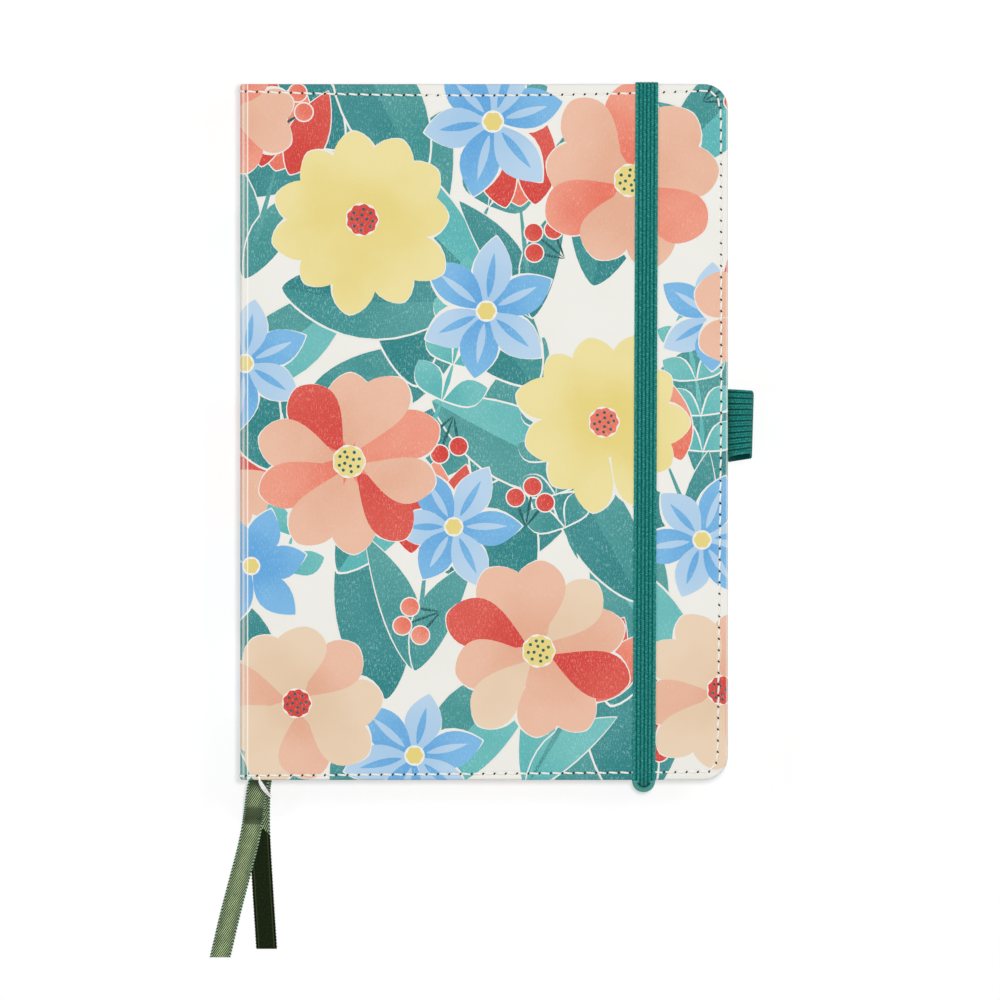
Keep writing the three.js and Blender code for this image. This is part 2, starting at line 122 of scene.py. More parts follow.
# The printed colours, each from its deep to its pale tone, as the eye sees them
PALETTE = {
    "base": ((241, 240, 234), (238, 236, 229)),
    "teal": ((72, 143, 143), (94, 160, 158)),
    "deep_teal": ((58, 129, 131), (80, 147, 148)),
    "aqua": ((100, 180, 180), (122, 192, 190)),
    "peach": ((228, 174, 147), (236, 191, 167)),
    "sand": ((229, 201, 172), (236, 212, 186)),
    "coral": ((230, 120, 102), (238, 160, 138)),
    "red": ((207, 78, 72), (216, 98, 88)),
    "blue": ((106, 168, 220), (130, 186, 228)),
    "sky": ((172, 204, 232), (188, 214, 236)),
    "yellow": ((231, 212, 132), (238, 225, 164)),
    "ink": ((36, 92, 94), (44, 102, 102)),
}


def linear(colour):
    shares = [channel / 255 for channel in colour]
    return tuple(c / 12.92 if c <= 0.04045 else ((c + 0.055) / 1.055) ** 2.4 for c in shares) + (1.0,)


# Camera in millimetres, lamps and floor in metres
CAMERA_HEIGHT = 3000
FRAME_WIDTH = 306
LOOK_AT = (4.9, -20.8)
SENSOR = 36
DAYLIGHT = 0.18
KEY = ((0.09, 0.035, 1.6), 0.15, 16.0)
RAKE = ((0.9, 0.5, 1.3), 0.5, 3.6)
FILL = ((-1.1, 0.25, 0.9), 0.3, 2.6)
FLOOR_SHARE = 0.54
FLOOR_GLOW = 1.14
FLOOR_REACH = 6.0
FLOOR_LEVEL = -0.00005


def new_object(name, data):
    thing = bpy.data.objects.new(name, data)
    bpy.context.collection.objects.link(thing)
    return thing


def add_camera():
    data = bpy.data.cameras.new("camera")
    data.sensor_width = SENSOR
    data.lens = SENSOR * CAMERA_HEIGHT / FRAME_WIDTH
    data.clip_start = 0.1
    data.clip_end = 20
    camera = new_object("camera", data)
    camera.location = (LOOK_AT[0] * MM, LOOK_AT[1] * MM, (THICKNESS + CAMERA_HEIGHT) * MM)
    bpy.context.scene.camera = camera


def add_lamp(name, place, size, watts, mirrored=True):
    data = bpy.data.lights.new(name, "AREA")
    data.shape = "DISK"
    data.size = size
    data.energy = watts
    lamp = new_object(name, data)
    lamp.location = place
    lamp.rotation_euler = (-Vector(place)).to_track_quat("-Z", "Y").to_euler()
    lamp.visible_glossy = mirrored


def add_light():
    scene = bpy.context.scene
    scene.view_settings.view_transform = "Standard"
    scene.world = bpy.data.worlds.new("studio")
    scene.world.use_nodes = True
    tree = scene.world.node_tree
    background = tree.nodes["Background"]
    background.inputs["Color"].default_value = (1, 1, 1, 1)
    feed(tree, background.inputs["Strength"], looked_at(tree) * (1 - DAYLIGHT) + DAYLIGHT)
    add_lamp("key", *KEY, mirrored=False)
    add_lamp("rake", *RAKE)
    add_lamp("fill", *FILL)


def add_floor():
    mesh = bpy.data.meshes.new("floor")
    signs = ((-1, -1), (1, -1), (1, 1), (-1, 1))
    mesh.from_pydata([(x * FLOOR_REACH, y * FLOOR_REACH, 0) for x, y in signs], [], [(0, 1, 2, 3)])
    floor = new_object("floor", mesh)
    floor.location.z = FLOOR_LEVEL
    material, tree = new_material("floor", 0.9, Base_Color=(0.9, 0.9, 0.9, 1), Specular_IOR_Level=0.0)
    matt = Value(tree, tree.nodes["Principled BSDF"].outputs[0])
    white = shade(tree, "Emission", 0, {"Strength": FLOOR_GLOW})
    both = shade(tree, "MixShader", 0, {0: looked_at(tree) * FLOOR_SHARE, 1: matt, 2: white})
    feed(tree, tree.nodes["Material Output"].inputs["Surface"], both)
    mesh.materials.append(material)


# Shader values and the nodes that make them
class Value:
    """What a shader node puts out. Sums with it add math nodes to its tree."""

    def __init__(self, tree, socket):
        self.tree, self.socket = tree, socket

    def math(self, operation, *others):
        return shade(self.tree, "Math", 0, dict(enumerate((self, *others))), operation=operation)

    def __add__(self, other):
        return self.math("ADD", other)

    def __sub__(self, other):
        return self.math("SUBTRACT", other)

    def __mul__(self, other):
        return self.math("MULTIPLY", other)

    def __abs__(self):
        return self.math("ABSOLUTE")


def feed(tree, socket, value):
    if isinstance(value, Value):
        tree.links.new(value.socket, socket)
    else:
        socket.default_value = value


def shade(tree, kind, output, inputs=(), **settings):
    """Add a node with its inputs fed, and give one of its outputs."""
    node = tree.nodes.new("ShaderNode" + kind)
    for name, value in settings.items():
        setattr(node, name, value)
    for name, value in dict(inputs).items():
        feed(tree, node.inputs[name], value)
    return Value(tree, node.outputs[output])


def largest(first, *others):
    for other in others:
        first = first.math("MAXIMUM", other)
    return first


def looked_at(tree):
    """1 for a ray that sees a thing, straight, mirrored or through glass, and 0 for one that lights it."""
    path = tree.nodes.new("ShaderNodeLightPath")
    ways = ("Glossy", "Transmission", "Camera")
    return largest(*(Value(tree, path.outputs[f"Is {way} Ray"]) for way in ways))


def mix(share, first, second):
    """Two colours mixed. A colour of three numbers is one as the eye sees it, from 0 to 255."""
    first, second = (linear(c) if isinstance(c, tuple) and len(c) == 3 else c for c in (first, second))
    return shade(share.tree, "Mix", 2, {0: share, 6: first, 7: second}, data_type="RGBA")


def noise(where, scale, detail=3.0, rough=0.5):
    inputs = {"Vector": where, "Scale": scale, "Detail": detail, "Roughness": rough}
    return shade(where.tree, "TexNoise", "Fac", inputs)


def ramp(value, low, high, out_low=0.0, out_high=1.0):
    """A smooth step of a value from one level to another."""
    inputs = {"Value": value, "From Min": low, "From Max": high, "To Min": out_low, "To Max": out_high}
    return shade(value.tree, "MapRange", "Result", inputs, interpolation_type="SMOOTHSTEP")


def turns(value, pitch):
    """How far a wave with a pitch in millimetres has turned."""
    return value * (2 * math.pi / (pitch * MM))


def wave(phase):
    """A wave between 0 and 1."""
    return phase.math("SINE") * 0.5 + 0.5


def flat_map(tree):
    return shade(tree, "UVMap", "UV", uv_map="flat")


def solid_map(tree):
    return shade(tree, "TexCoord", "Object")


def attribute(tree, name):
    return shade(tree, "Attribute", "Fac", attribute_name=name)


def stretched(where, scale):
    return shade(where.tree, "Mapping", "Vector", {"Vector": where, "Scale": scale})


def split(where):
    node = where.tree.nodes.new("ShaderNodeSeparateXYZ")
    feed(where.tree, node.inputs["Vector"], where)
    return [Value(where.tree, socket) for socket in node.outputs]


def new_material(name, roughness, **settings):
    """A material with some inputs of its shader set, each named with _ for a space."""
    material = bpy.data.materials.new(name)
    material.use_nodes = True
    shader = material.node_tree.nodes["Principled BSDF"]
    for key, value in {"Roughness": roughness, **settings}.items():
        shader.inputs[key.replace("_", " ")].default_value = value
    return material, material.node_tree


def finished(material, colour, *bumps):
    """The material in its colour. Each bump is a height from 0 to 1 and its depth in millimetres."""
    tree = material.node_tree
    shader = tree.nodes["Principled BSDF"]
    feed(tree, shader.inputs["Base Color"], colour)
    below = {}
    for height, depth in bumps:
        normal = shade(tree, "Bump", "Normal", {"Distance": depth * MM, "Height": height, **below})
        below = {"Normal": normal}
    feed(tree, shader.inputs["Normal"], normal)
    return material


def scaled(colour, share, lift=0.0):
    return tuple(min(1.0, channel * share + lift) for channel in colour[:3]) + (1.0,)


# Printed leatherette: a colour wash, fine pores and short hairs with painted glints on them, painted shade in
# the pores, painted highlights along the spine and the fore-edge, and a satin coat.
# The flat map is in metres, so the grain keeps its size round every bend.
GLOSS = 0.03
# Painted highlights, where the print is made pale: place across the sheet, width in millimetres and strength
PAINTED_HIGHLIGHTS = ((SPINE_SHEEN, 0.9, 0.45), (RIDGE, 0.34, 0.85), (INSET_EDGE + 0.45, 0.5, 0.55))
SEAM_DIP = 1.1


def printed(colour):
    """The pigment that looks like a colour once the satin coat has added its sheen."""
    return tuple(max(0.0, channel - GLOSS) for channel in linear(colour)[:3]) + (1.0,)


def painted_grain_share(colour):
    """How strongly the painted glints and the painted shade of the grain show: much on dark colours, hardly
    at all on pale ones.
    """
    brightness = sum(linear(colour)[:3]) / 3
    return min(0.75, max(0.03, 0.92 - 1.55 * brightness))


def leatherette(name, deep, pale):
    finish = {"Specular_IOR_Level": 0.4, "Coat_Weight": 0.12, "Coat_Roughness": 0.28}
    material, tree = new_material("leatherette_" + name, 0.46, **finish)
    where = flat_map(tree)
    blend = attribute(tree, "wash") + (noise(where, 38) * 1.8 - 0.9)
    tone = mix(ramp(blend, 0.0, 1.0), printed(deep), printed(pale))
    pores = noise(where, 2600, 2.0, 0.6)
    hairs = noise(stretched(where, (1.0, 0.3, 1.0)), 2500, 1.0)
    patches = ramp(noise(where, 120, 2.0), 0.35, 0.65, 0.45, 1.0)
    # Painted glints: pale specks on the raised pores and short hairs, strongest on dark colours.
    painted_glints = largest(ramp(pores, 0.55, 0.68), ramp(hairs, 0.56, 0.68)) * patches
    lit = mix(painted_glints * painted_grain_share(deep), tone, scaled(linear(pale), 1.25, 0.16))
    # Painted shade: the colour is darker in the sunken pores.
    sunk = ramp(pores, 0.32, 0.46, 0.7 * painted_grain_share(deep), 0.0)
    pores_shaded = mix(sunk, lit, scaled(printed(deep), 0.72))
    # Painted highlights along lines across the sheet, mixed towards near-white.
    with_painted_highlights = mix(painted_highlight_lines(where), pores_shaded, (252, 250, 240))
    return finished(material, with_painted_highlights, (pores, 0.04), (seam_dip(where), 0.16))


def painted_highlight_lines(where):
    """Painted highlights: the print is made pale on the round of the spine, on the ridge beside it and along
    the fore-edge.
    """
    s = split(where)[0]
    return largest(*(ramp(abs(s - place * MM), 0.0, width * MM, most, 0.0) for place, width, most in PAINTED_HIGHLIGHTS))


def seam_dip(where):
    """The leatherette is drawn in along the line of stitches round each cover."""
    s, t, _ = split(where)
    off_middle = s * (1 / (SEAM_SPAN * MM)) - SEAM_MIDDLE / SEAM_SPAN
    head = off_middle * off_middle * (SEAM_SAG * MM) + (HEAD - HEAD_SEAM) * MM
    tail = s * TAIL_SLOPE + (TAIL_SEAM - HEAD) * MM
    past = largest(t - head, tail - t, s - EDGE_LINE * MM)
    return ramp(abs(past), 0.0, SEAM_DIP * MM)


def fibrous(name, dark, pale, scale, detail, depth, roughness, **settings):
    """Fibres on the flat map: the back of the leatherette, and a needle hole painted dark as its shade."""
    material, tree = new_material(name, roughness, **settings)
    fibres = noise(flat_map(tree), scale, detail)
    return finished(material, mix(fibres, dark, pale), (fibres, depth))


# Sewing thread of two plies: the map runs along the thread and round it
PLY_PITCH = 0.7


def sewing_cotton():
    material, tree = new_material("seam_thread", 0.55, Sheen_Weight=0.2)
    along, around, _ = split(flat_map(tree))
    ply = wave(turns(along, PLY_PITCH) + around * 4000)
    return finished(material, mix(ply, (246, 242, 232), (255, 255, 250)), (ply, 0.06))


def loose_strand():
    material, tree = new_material("loose_strand", 0.22, Coat_Weight=0.5)
    lustre = ramp(noise(flat_map(tree), 1500, 2.0), 0.3, 0.4)
    return finished(material, mix(lustre, (172, 172, 170), (255, 255, 255)), (lustre, 0.04))


# Braided elastic: cords side by side under a fine cross weave. "ridge" is 0 between two cords, 1 on a cord
# and more on the plain rim of the band. The colour follows it as painted light: painted shade in the grooves,
# painted glints and highlights on the cords, and a painted highlight on the rim.
WEAVE_PITCH = 0.62


def elastic(name):
    finish = {"Specular_IOR_Level": 0.12, "Sheen_Weight": 0.15, "Sheen_Tint": linear((90, 190, 178))}
    material, tree = new_material(name, 0.72, **finish)
    where = flat_map(tree)
    ridge = attribute(tree, "ridge")
    across, along, _ = split(where)
    fuzz = noise(where, 1400, 4.0, 0.65)
    weave = wave(turns(along, WEAVE_PITCH) + (across * 2600 + fuzz * 11.0))
    # Painted shade: the grooves between the cords are dark and the cords lighter.
    body = mix(ramp(ridge, 0.05, 0.9), (2, 68, 65), (15, 114, 110))
    # Painted glints on the weave, and a painted highlight along the crest of each cord.
    glint = ramp(fuzz, 0.40, 0.66) * ramp(weave, 0.2, 0.9) * ridge * 0.7
    crest_highlight = ramp(ridge, 0.75, 1.0) * ramp(fuzz, 0.42, 0.6, 0.05, 0.3)
    # Painted highlight where ridge passes 1, on the plain rim of the band.
    rim_highlight = ramp(ridge, 1.0, 1.5, 0.0, 0.55)
    lit = mix(crest_highlight, mix(glint, body, (84, 184, 170)), (92, 188, 174))
    return finished(material, mix(rim_highlight, lit, (96, 200, 186)), (weave, 0.09), (fuzz, 0.08))


# Satin ribbon: a twill whose lines climb to the right, with looped edges, and a smooth dark back
TWILL_PITCH = 0.58
PICOT_PITCH = 1.0
EDGE_RIB = 2.35


def picots(across, along):
    """How far a place is on the looped edge, and how high it stands on its loop."""
    edge = ramp(abs(across), (RIBBON_WIDTH / 2 - 0.75) * MM, (RIBBON_WIDTH / 2 - 0.45) * MM)
    return edge, turns(along, PICOT_PITCH).math("SINE")


def satin(name, shaded=()):
    """The face of a ribbon. shaded lists the stretches along it that bend away from the light."""
    material, tree = new_material(name, 0.44, Metallic=0.35)
    where = flat_map(tree)
    across, along, _ = split(where)
    phase = turns(along * 0.42 + across * 0.90, TWILL_PITCH) + noise(where, 900, 2.0) * 1.1
    line = ramp(phase.math("SINE"), 0.2, 0.9)
    middle = ramp(abs(across), 0.6 * MM, 2.3 * MM, 1.0, 0.62)
    lustre = ramp(noise(where, 340), 0.3, 0.65, 0.78, 1.0)
    face = mix(line * lustre * middle, (16, 34, 8), (220, 246, 182))
    for start, end, fade, depth in shaded:
        entered = ramp(along, (start - 1.0) * MM, (start + 0.8) * MM)
        passed = ramp(along, (end - fade) * MM, (end + 0.2) * MM)
        face = mix((entered - passed) * depth, face, (40, 58, 28))
    edge, loop = picots(across, along)
    picot = mix(ramp(loop, -0.2, 0.5), (14, 24, 14), (150, 190, 156))
    return finished(material, mix(edge, face, picot), (line, 0.05))


def satin_back():
    material, tree = new_material("satin_back", 0.5, Specular_IOR_Level=0.05)
    where = flat_map(tree)
    across, along, _ = split(where)
    grain = noise(where, 1800)
    dark = mix(ramp(grain, 0.35, 0.7), (16, 24, 10), (31, 41, 20))
    off_rib = abs(abs(across) - EDGE_RIB * MM)
    ribbed = mix(ramp(off_rib, 0.0, 0.22 * MM, 0.42, 0.0), dark, (88, 100, 62))
    return finished(material, mix(picots(across, along)[0], ribbed, (10, 15, 8)), (grain, 0.03))


# Paper with a 5 mm dot grid, drawn from any map in metres whose first two values lie on the page
DOT_PITCH = 5.0
DOT_RADIUS = 0.26
DOT_BLUR = 0.06


def dot_grid(where):
    squares = []
    for value in split(where)[:2]:
        cells = (value * (1 / (DOT_PITCH * MM)) + 0.5).math("FRACT")
        off = (cells - 0.5) * DOT_PITCH
        squares.append(off * off)
    distance = (squares[0] + squares[1]).math("SQRT")
    return ramp(distance, DOT_RADIUS - DOT_BLUR, DOT_RADIUS + DOT_BLUR, 1.0, 0.0)


def paper_face(where, dotted=True):
    """The fibres of a page and its colour."""
    fibres = noise(where, 700, 4.0)
    sheet = mix(fibres, (240, 235, 220), (248, 244, 232))
    return fibres, mix(dot_grid(where), sheet, (150, 148, 144)) if dotted else sheet


def page_paper(name, dotted=False):
    material, tree = new_material(name, 0.85)
    fibres, sheet = paper_face(flat_map(tree), dotted)
    return finished(material, sheet, (fibres, 0.02))


def page_block():
    """The folded signatures: dots on their faces and the edges of the leaves on their sides."""
    material, tree = new_material("page_block", 0.88)
    where = solid_map(tree)
    leaves = noise(stretched(where, (18, 18, 5200)), 1.0, 3.0, 0.7)
    edges = mix(ramp(leaves, 0.3, 0.7), (206, 198, 178), (244, 239, 226))
    upward = split(shade(tree, "TexCoord", "Normal"))[2]
    colour = mix(ramp(abs(upward), 0.7, 0.9), edges, paper_face(where)[1])
    return finished(material, colour, (leaves, 0.05))


def mottled(name, dark, pale, scale, depth, roughness, stretch=(1, 1, 1)):
    """A dull material with a grain: board, lining paper, bookbinder's thread."""
    material, tree = new_material(name, roughness)
    grain = noise(stretched(solid_map(tree), stretch), scale, 4.0, 0.6)
    return finished(material, mix(ramp(grain, 0.3, 0.7), dark, pale), (grain, depth))


def woven(name, dark, pale, pitch, direction):
    """Cloth with a rib every pitch millimetres along a direction: mull, headband, tab."""
    material, tree = new_material(name, 0.8)
    where = solid_map(tree)
    axis = split(where)["XYZ".index(direction)]
    rib = wave(turns(axis, pitch) + noise(where, 2500, 2.0))
    return finished(material, mix(rib, dark, pale), (rib, 0.12))


# Meshes from points in millimetres, with a flat map in metres and one material per face
def make_object(name, points, faces, materials, flat, face_materials=None):
    mesh = bpy.data.meshes.new(name)
    mesh.from_pydata((np.asarray(points, float) * MM).tolist(), [], [list(map(int, face)) for face in faces])
    for material in materials:
        mesh.materials.append(material)
    if face_materials is not None:
        mesh.polygons.foreach_set("material_index", np.asarray(face_materials, dtype=np.int32))
    mesh.polygons.foreach_set("use_smooth", [True] * len(mesh.polygons))
    corners = np.empty(len(mesh.loops), dtype=np.int32)
    mesh.loops.foreach_get("vertex_index", corners)
    layer = mesh.uv_layers.new(name="flat")
    layer.data.foreach_set("uv", (np.asarray(flat, float)[corners] * MM).ravel())
    mesh.update()
    return new_object(name, mesh)


def point_values(piece, name, *grids):
    layer = piece.data.attributes.new(name, "FLOAT", "POINT")
    layer.data.foreach_set("value", np.concatenate([grid.ravel() for grid in grids]).astype(np.float32))


def stacked(*parts):
    """The coordinates of a grid of points, put together."""
    return np.stack(np.broadcast_arrays(*parts), -1)


def all_round(count):
    """Angles in even steps all the way round."""
    return np.linspace(0, 2 * math.pi, count, endpoint=False)


def unit(vectors):
    return vectors / np.linalg.norm(vectors, axis=-1, keepdims=True)


def lengths_along(line):
    return np.concatenate([[0], np.cumsum(np.linalg.norm(np.diff(line, axis=0), axis=1))])


def strip_faces(rows, columns, closed=False):
    """Quads between rows of points. A closed strip joins its last column to its first."""
    faces = []
    for i in range(rows - 1):
        for j in range(columns if closed else columns - 1):
            after = (j + 1) % columns
            a = i * columns
            faces.append((a + j, a + after, a + columns + after, a + columns + j))
    return faces


def capped_faces(rows, columns):
    """A tube of quads with a face over each end."""
    first, last = range(columns), range((rows - 1) * columns, rows * columns)
    return strip_faces(rows, columns, True) + [tuple(first)[::-1], tuple(last)]


def slab_faces(rows, columns, closed=False):
    """An upper and a lower grid of points, one after the other, joined along their open sides."""
    count = rows * columns
    upper = strip_faces(rows, columns, closed)
    lower = [tuple(count + i for i in face[::-1]) for face in upper]
    first, last = list(range(columns)), list(range(count - columns, count))
    if closed:
        rims = [(first, first[1:] + first[:1]), (last[1:] + last[:1], last)]
    else:
        rim = first + list(range(2 * columns - 1, count, columns)) + last[-2::-1]
        rim += range(count - 2 * columns, 0, -columns)
        rims = [(rim, rim[1:] + rim[:1])]
    return upper + lower + [(b, a, a + count, b + count) for rim in rims for a, b in zip(*rim)]


def slab(name, sheets, one_map, materials, turned_faces=False, closed=False, choose=None):
    """A thick sheet from its two grids of points. choose gives each face its material, from the map."""
    faces = slab_faces(*one_map.shape[:2], closed)
    if turned_faces:
        faces = [face[::-1] for face in faces]
    flat = np.concatenate([one_map.reshape(-1, 2)] * 2)
    points = np.concatenate([sheet.reshape(-1, 3) for sheet in sheets])
    chosen = choose(flat[np.array(faces)].mean(1)) if choose else None
    return make_object(name, points, faces, materials, flat, chosen)


def fold(s):
    """Place, direction across and outward direction of the folded sheet at s, each in X and Z."""
    angle = np.clip(-s / SPINE_ROUNDING, 0, math.pi / 2)
    past = np.minimum(s + ARC, 0)
    x = HINGE_LINE + np.maximum(s, 0) - SPINE_ROUNDING * np.sin(angle)
    z = THICKNESS - SPINE_ROUNDING + SPINE_ROUNDING * np.cos(angle) + past
    return (x, z), (np.cos(angle), np.sin(angle)), (-np.sin(angle), np.cos(angle))


def over_edge(distance, depth):
    """How far out and down a sheet lies, and how far it has turned, at a distance past the inset line."""
    r = EDGE_ROUNDING
    wall = depth - 2 * r
    first = np.clip(distance / r, 0, math.pi / 2)
    second = np.clip((distance - ROLL - wall) / r, 0, math.pi / 2)
    straight = np.clip(distance - ROLL, 0, wall)
    back = np.maximum(distance - 2 * ROLL - wall, 0)
    out = r * np.sin(first) - r * (1 - np.cos(second)) - back
    down = r * (1 - np.cos(first)) + straight + r * np.sin(second)
    return out, down, first + second


def spine_relief(s):
    """The board's end shows as a fine crease beside a ridge, where the cover meets the spine."""
    ridge, crease = (np.exp(-(((s - place) / RELIEF_WIDTH) ** 2)) for place in (RIDGE, CREASE))
    return RIDGE_HEIGHT * ridge - CREASE_DEPTH * crease


def on_case(s, t, lift=0.0, side=1):
    """Points of the case at s, t in the sheet, lifted off it. side is 1 for the front and -1 for the back."""
    s, t = np.asarray(s, float), np.asarray(t, float)
    corner_s, corner_t = INSET_EDGE - INSET_CORNER, INSET_HEAD - INSET_CORNER
    ds, dt = s - corner_s, np.abs(t) - corner_t
    length = np.maximum(np.hypot(ds, dt), 1e-9)
    in_corner = (ds > 0) & (dt > 0)
    beyond_edge = np.where(in_corner, length - INSET_CORNER, s - INSET_EDGE)
    beyond_head = np.where(in_corner, length - INSET_CORNER, np.abs(t) - INSET_HEAD)
    by_edge = beyond_edge > beyond_head
    distance = np.maximum(np.maximum(beyond_edge, beyond_head), 0)
    way_s = np.where(in_corner, ds / length, np.where(by_edge, 1.0, 0.0))
    way_t = np.where(in_corner, dt / length, np.where(by_edge, 0.0, 1.0)) * np.where(t < 0, -1.0, 1.0)
    s0, t0 = s - way_s * distance, t - way_t * distance
    (x, z), (across_x, across_z), (out_x, out_z) = fold(s0)
    depth = SPINE_WRAP + (WRAP - SPINE_WRAP) * np.clip(s0 - DEEPER_FROM, 0, 1)
    out, down, turn = over_edge(distance, depth)
    relief = spine_relief(s0)
    lift = lift + (relief if side > 0 else np.minimum(relief, 0))
    out = out + lift * np.sin(turn)
    down = down - lift * np.cos(turn)
    px = x + across_x * way_s * out - out_x * down
    py = t0 + way_t * out
    pz = z + across_z * way_s * out - out_z * down
    if side < 0:
        pz = THICKNESS - pz
    return stacked(px, py, pz)


# Outlines for the print, in millimetres on the developed sheet
DAISY_FILL = 0.84
DAISY_HEART = 0.16
DAISY_SEEDS = ((0.11, 8), (0.05, 4))
TULIP_STEM = 1.35
TULIP_LEAF = 0.40
STAR_PETALS = 6
STAR_WIDTH = 0.54
STAR_HEART = 0.12
SPRIG_LEAF = 0.58
SPRIG_LEAN = 52
STALK = 0.9
STALK_LENGTH = 9.5
STALK_SPREAD = 29
BERRY = 2.7


def turned(points, centre, angle):
    c, s = math.cos(math.radians(angle)), math.sin(math.radians(angle))
    return np.asarray(points, float) @ np.array([[c, s], [-s, c]]) + np.array(centre)


def blade(length, width, fullness=0.5, steps=11, start=0.0, blunt=0.85, bow=0.0):
    """A leaf or petal along +X. fullness moves its widest place towards the tip; bow curves it sideways."""
    along = (1 - np.cos(np.linspace(0, math.pi, steps))) / 2
    power = math.log(0.5) / math.log(fullness)
    half = width / 2 * np.sin(math.pi * along**power) ** blunt
    middle = bow * np.sin(math.pi * along)
    upper = np.stack([start + along * length, middle + half], 1)
    lower = np.stack([start + along[::-1] * length, (middle - half)[::-1]], 1)
    return np.concatenate([upper, lower[1:-1]])


def disc(radius, wobble=0.0, lobes=9, steps=22):
    angle = all_round(steps)
    r = radius * (1 + wobble * np.cos(lobes * angle))
    return np.stack([r * np.cos(angle), r * np.sin(angle)], 1)


class Print:
    """Coloured outlines in the order in which they are laid down. The wash of each starts at its origin."""

    def __init__(self):
        self.areas = []

    def lay(self, colour, outline, centre, angle=0.0, reach=20.0, shift=0.0):
        origin = np.array(centre, float) + shift
        self.areas.append((colour, turned(outline, centre, angle), origin, reach))


def daisy(sheet, centre, radius, petals, colours, middle, turn, pick):
    """A round flower of many broad petals with a wide middle."""
    width = 2 * math.pi * radius / petals * DAISY_FILL
    spread = []
    for i in range(petals):
        reach = radius * pick.uniform(0.90, 1.05)
        angle = turn + 360 * i / petals + pick.uniform(-3, 3)
        spread.append((angle, reach, width * pick.uniform(0.92, 1.06)))
    for angle, reach, wide in spread:
        sheet.lay("base", blade(reach + 0.4, wide + 0.7, 0.68, 15, 0, 0.62), centre, angle)
    sheet.lay(colours[0], disc(radius * 0.4), centre, 0, radius)
    for i, (angle, reach, wide) in enumerate(spread):
        outline = blade(reach * 0.88, wide, 0.66, 19, reach * 0.12, 0.58, pick.uniform(-1.5, 1.5))
        sheet.lay(colours[i % len(colours)], outline, centre, angle, radius)
    sheet.lay("base", disc(radius * (DAISY_HEART + 0.015), 0.03, 7, 30), centre)
    sheet.lay(middle, disc(radius * DAISY_HEART, 0.06, 9, 36), centre)
    for ring, count in DAISY_SEEDS:
        for i in range(count):
            spot = turned([(radius * ring, 0)], centre, turn + 360 * i / count + pick.uniform(-9, 9))[0]
            sheet.lay("ink", disc(radius * 0.018, steps=8), spot)


def tulip(sheet, foot, size, angle, colours, leaf):
    """A tulip seen from the side, on its stem with two long leaves. It grows along angle from its foot."""
    stem = size * TULIP_STEM
    wide = size * TULIP_LEAF

    def put(colour, outline, along, aside, lean, reach=20.0):
        spot = turned([(along, aside)], foot, angle)[0]
        sheet.lay(colour, outline, spot, angle + lean, reach)

    for lean, length, bow in ((26, 1.5, -2.5), (-22, 1.3, 2.5)):
        put("base", blade(size * length + 1, wide + 0.9, 0.45, 15, -0.5, 0.85, bow), 0, 0, lean)
        put(leaf, blade(size * length, wide, 0.45, 15, 0, 0.85, bow), 0, 0, lean, size * length)
    put("teal", blade(stem, 1.6, 0.5, 5), 0, 0, 0)
    cup = stem - size * 0.12
    petals = ((0.0, 0, colours[1], 0.56), (0.16, 9, colours[0], 0.44), (-0.16, -9, colours[0], 0.44))
    for aside, lean, colour, width in petals:
        put("base", blade(size + 0.8, size * width + 0.8, 0.44, 15, -0.4), cup, size * aside, lean)
        put(colour, blade(size, size * width, 0.44, 15), cup, size * aside, lean, size)


def star(sheet, centre, radius, colours, turn, pick):
    """A flower of pointed petals in two tones, each with a stripe."""
    angles = [turn + 360 * i / STAR_PETALS for i in range(STAR_PETALS)]
    spread = [(angle + pick.uniform(-4, 4), radius * pick.uniform(0.9, 1.06)) for angle in angles]
    for angle, reach in spread:
        sheet.lay("base", blade(reach + 0.5, radius * STAR_WIDTH + 0.8, 0.5, 13), centre, angle)
    for i, (angle, reach) in enumerate(spread):
        colour, stripe = colours[i % 2], colours[(i + 1) % 2]
        wide = radius * STAR_WIDTH
        outline = blade(reach * 0.95, wide, 0.52, 15, reach * 0.05, 0.85, pick.uniform(-1, 1))
        sheet.lay(colour, outline, centre, angle, radius)
        middle = blade(reach * 0.6, radius * 0.11, 0.45, 9, reach * 0.18)
        sheet.lay(stripe, middle, centre, angle, radius)
    sheet.lay("base", disc(radius * (STAR_HEART + 0.03)), centre)
    sheet.lay("yellow", disc(radius * STAR_HEART, 0.08, 6, 24), centre)


def sprig(sheet, foot, length, angle, pairs, leaf, colour, bend):
    """A stem that curves gently, with paired round-tipped leaves."""
    place, heading = np.array(foot, float), angle
    step = length / pairs
    for i in range(pairs):
        heading += bend / pairs
        after = turned([(step, 0)], place, heading)[0]
        sheet.lay(colour, blade(step * 1.06, 1.5, 0.5, 5), place, heading)
        size = leaf * (1 - 0.35 * i / pairs)
        wide = size * SPRIG_LEAF
        for lean in (SPRIG_LEAN, -SPRIG_LEAN):
            sheet.lay("base", blade(size + 0.8, wide + 0.9, 0.58, 11, -0.4), after, heading + lean)
            sheet.lay(colour, blade(size, wide, 0.58, 13, 0.4), after, heading + lean, size)
        place = after
    sheet.lay(colour, blade(leaf * 0.75, leaf * 0.4, 0.58), place, heading, leaf)


def ribbed_leaf(sheet, foot, length, width, angle, colour, second, bow):
    """A broad leaf whose two halves differ a little in tone."""
    full = blade(length, width, 0.46, 19, 0, 0.75, bow)
    sheet.lay("base", blade(length + 1.6, width + 1.3, 0.46, 17, -0.8, 0.75, bow), foot, angle)
    sheet.lay(colour, full, foot, angle, length)
    upper = full[:19]
    middle = np.stack([upper[::-1, 0], bow * np.sin(math.pi * upper[::-1, 0] / length)], 1)
    sheet.lay(second, np.concatenate([upper, middle[1:-1]]), foot, angle, length)


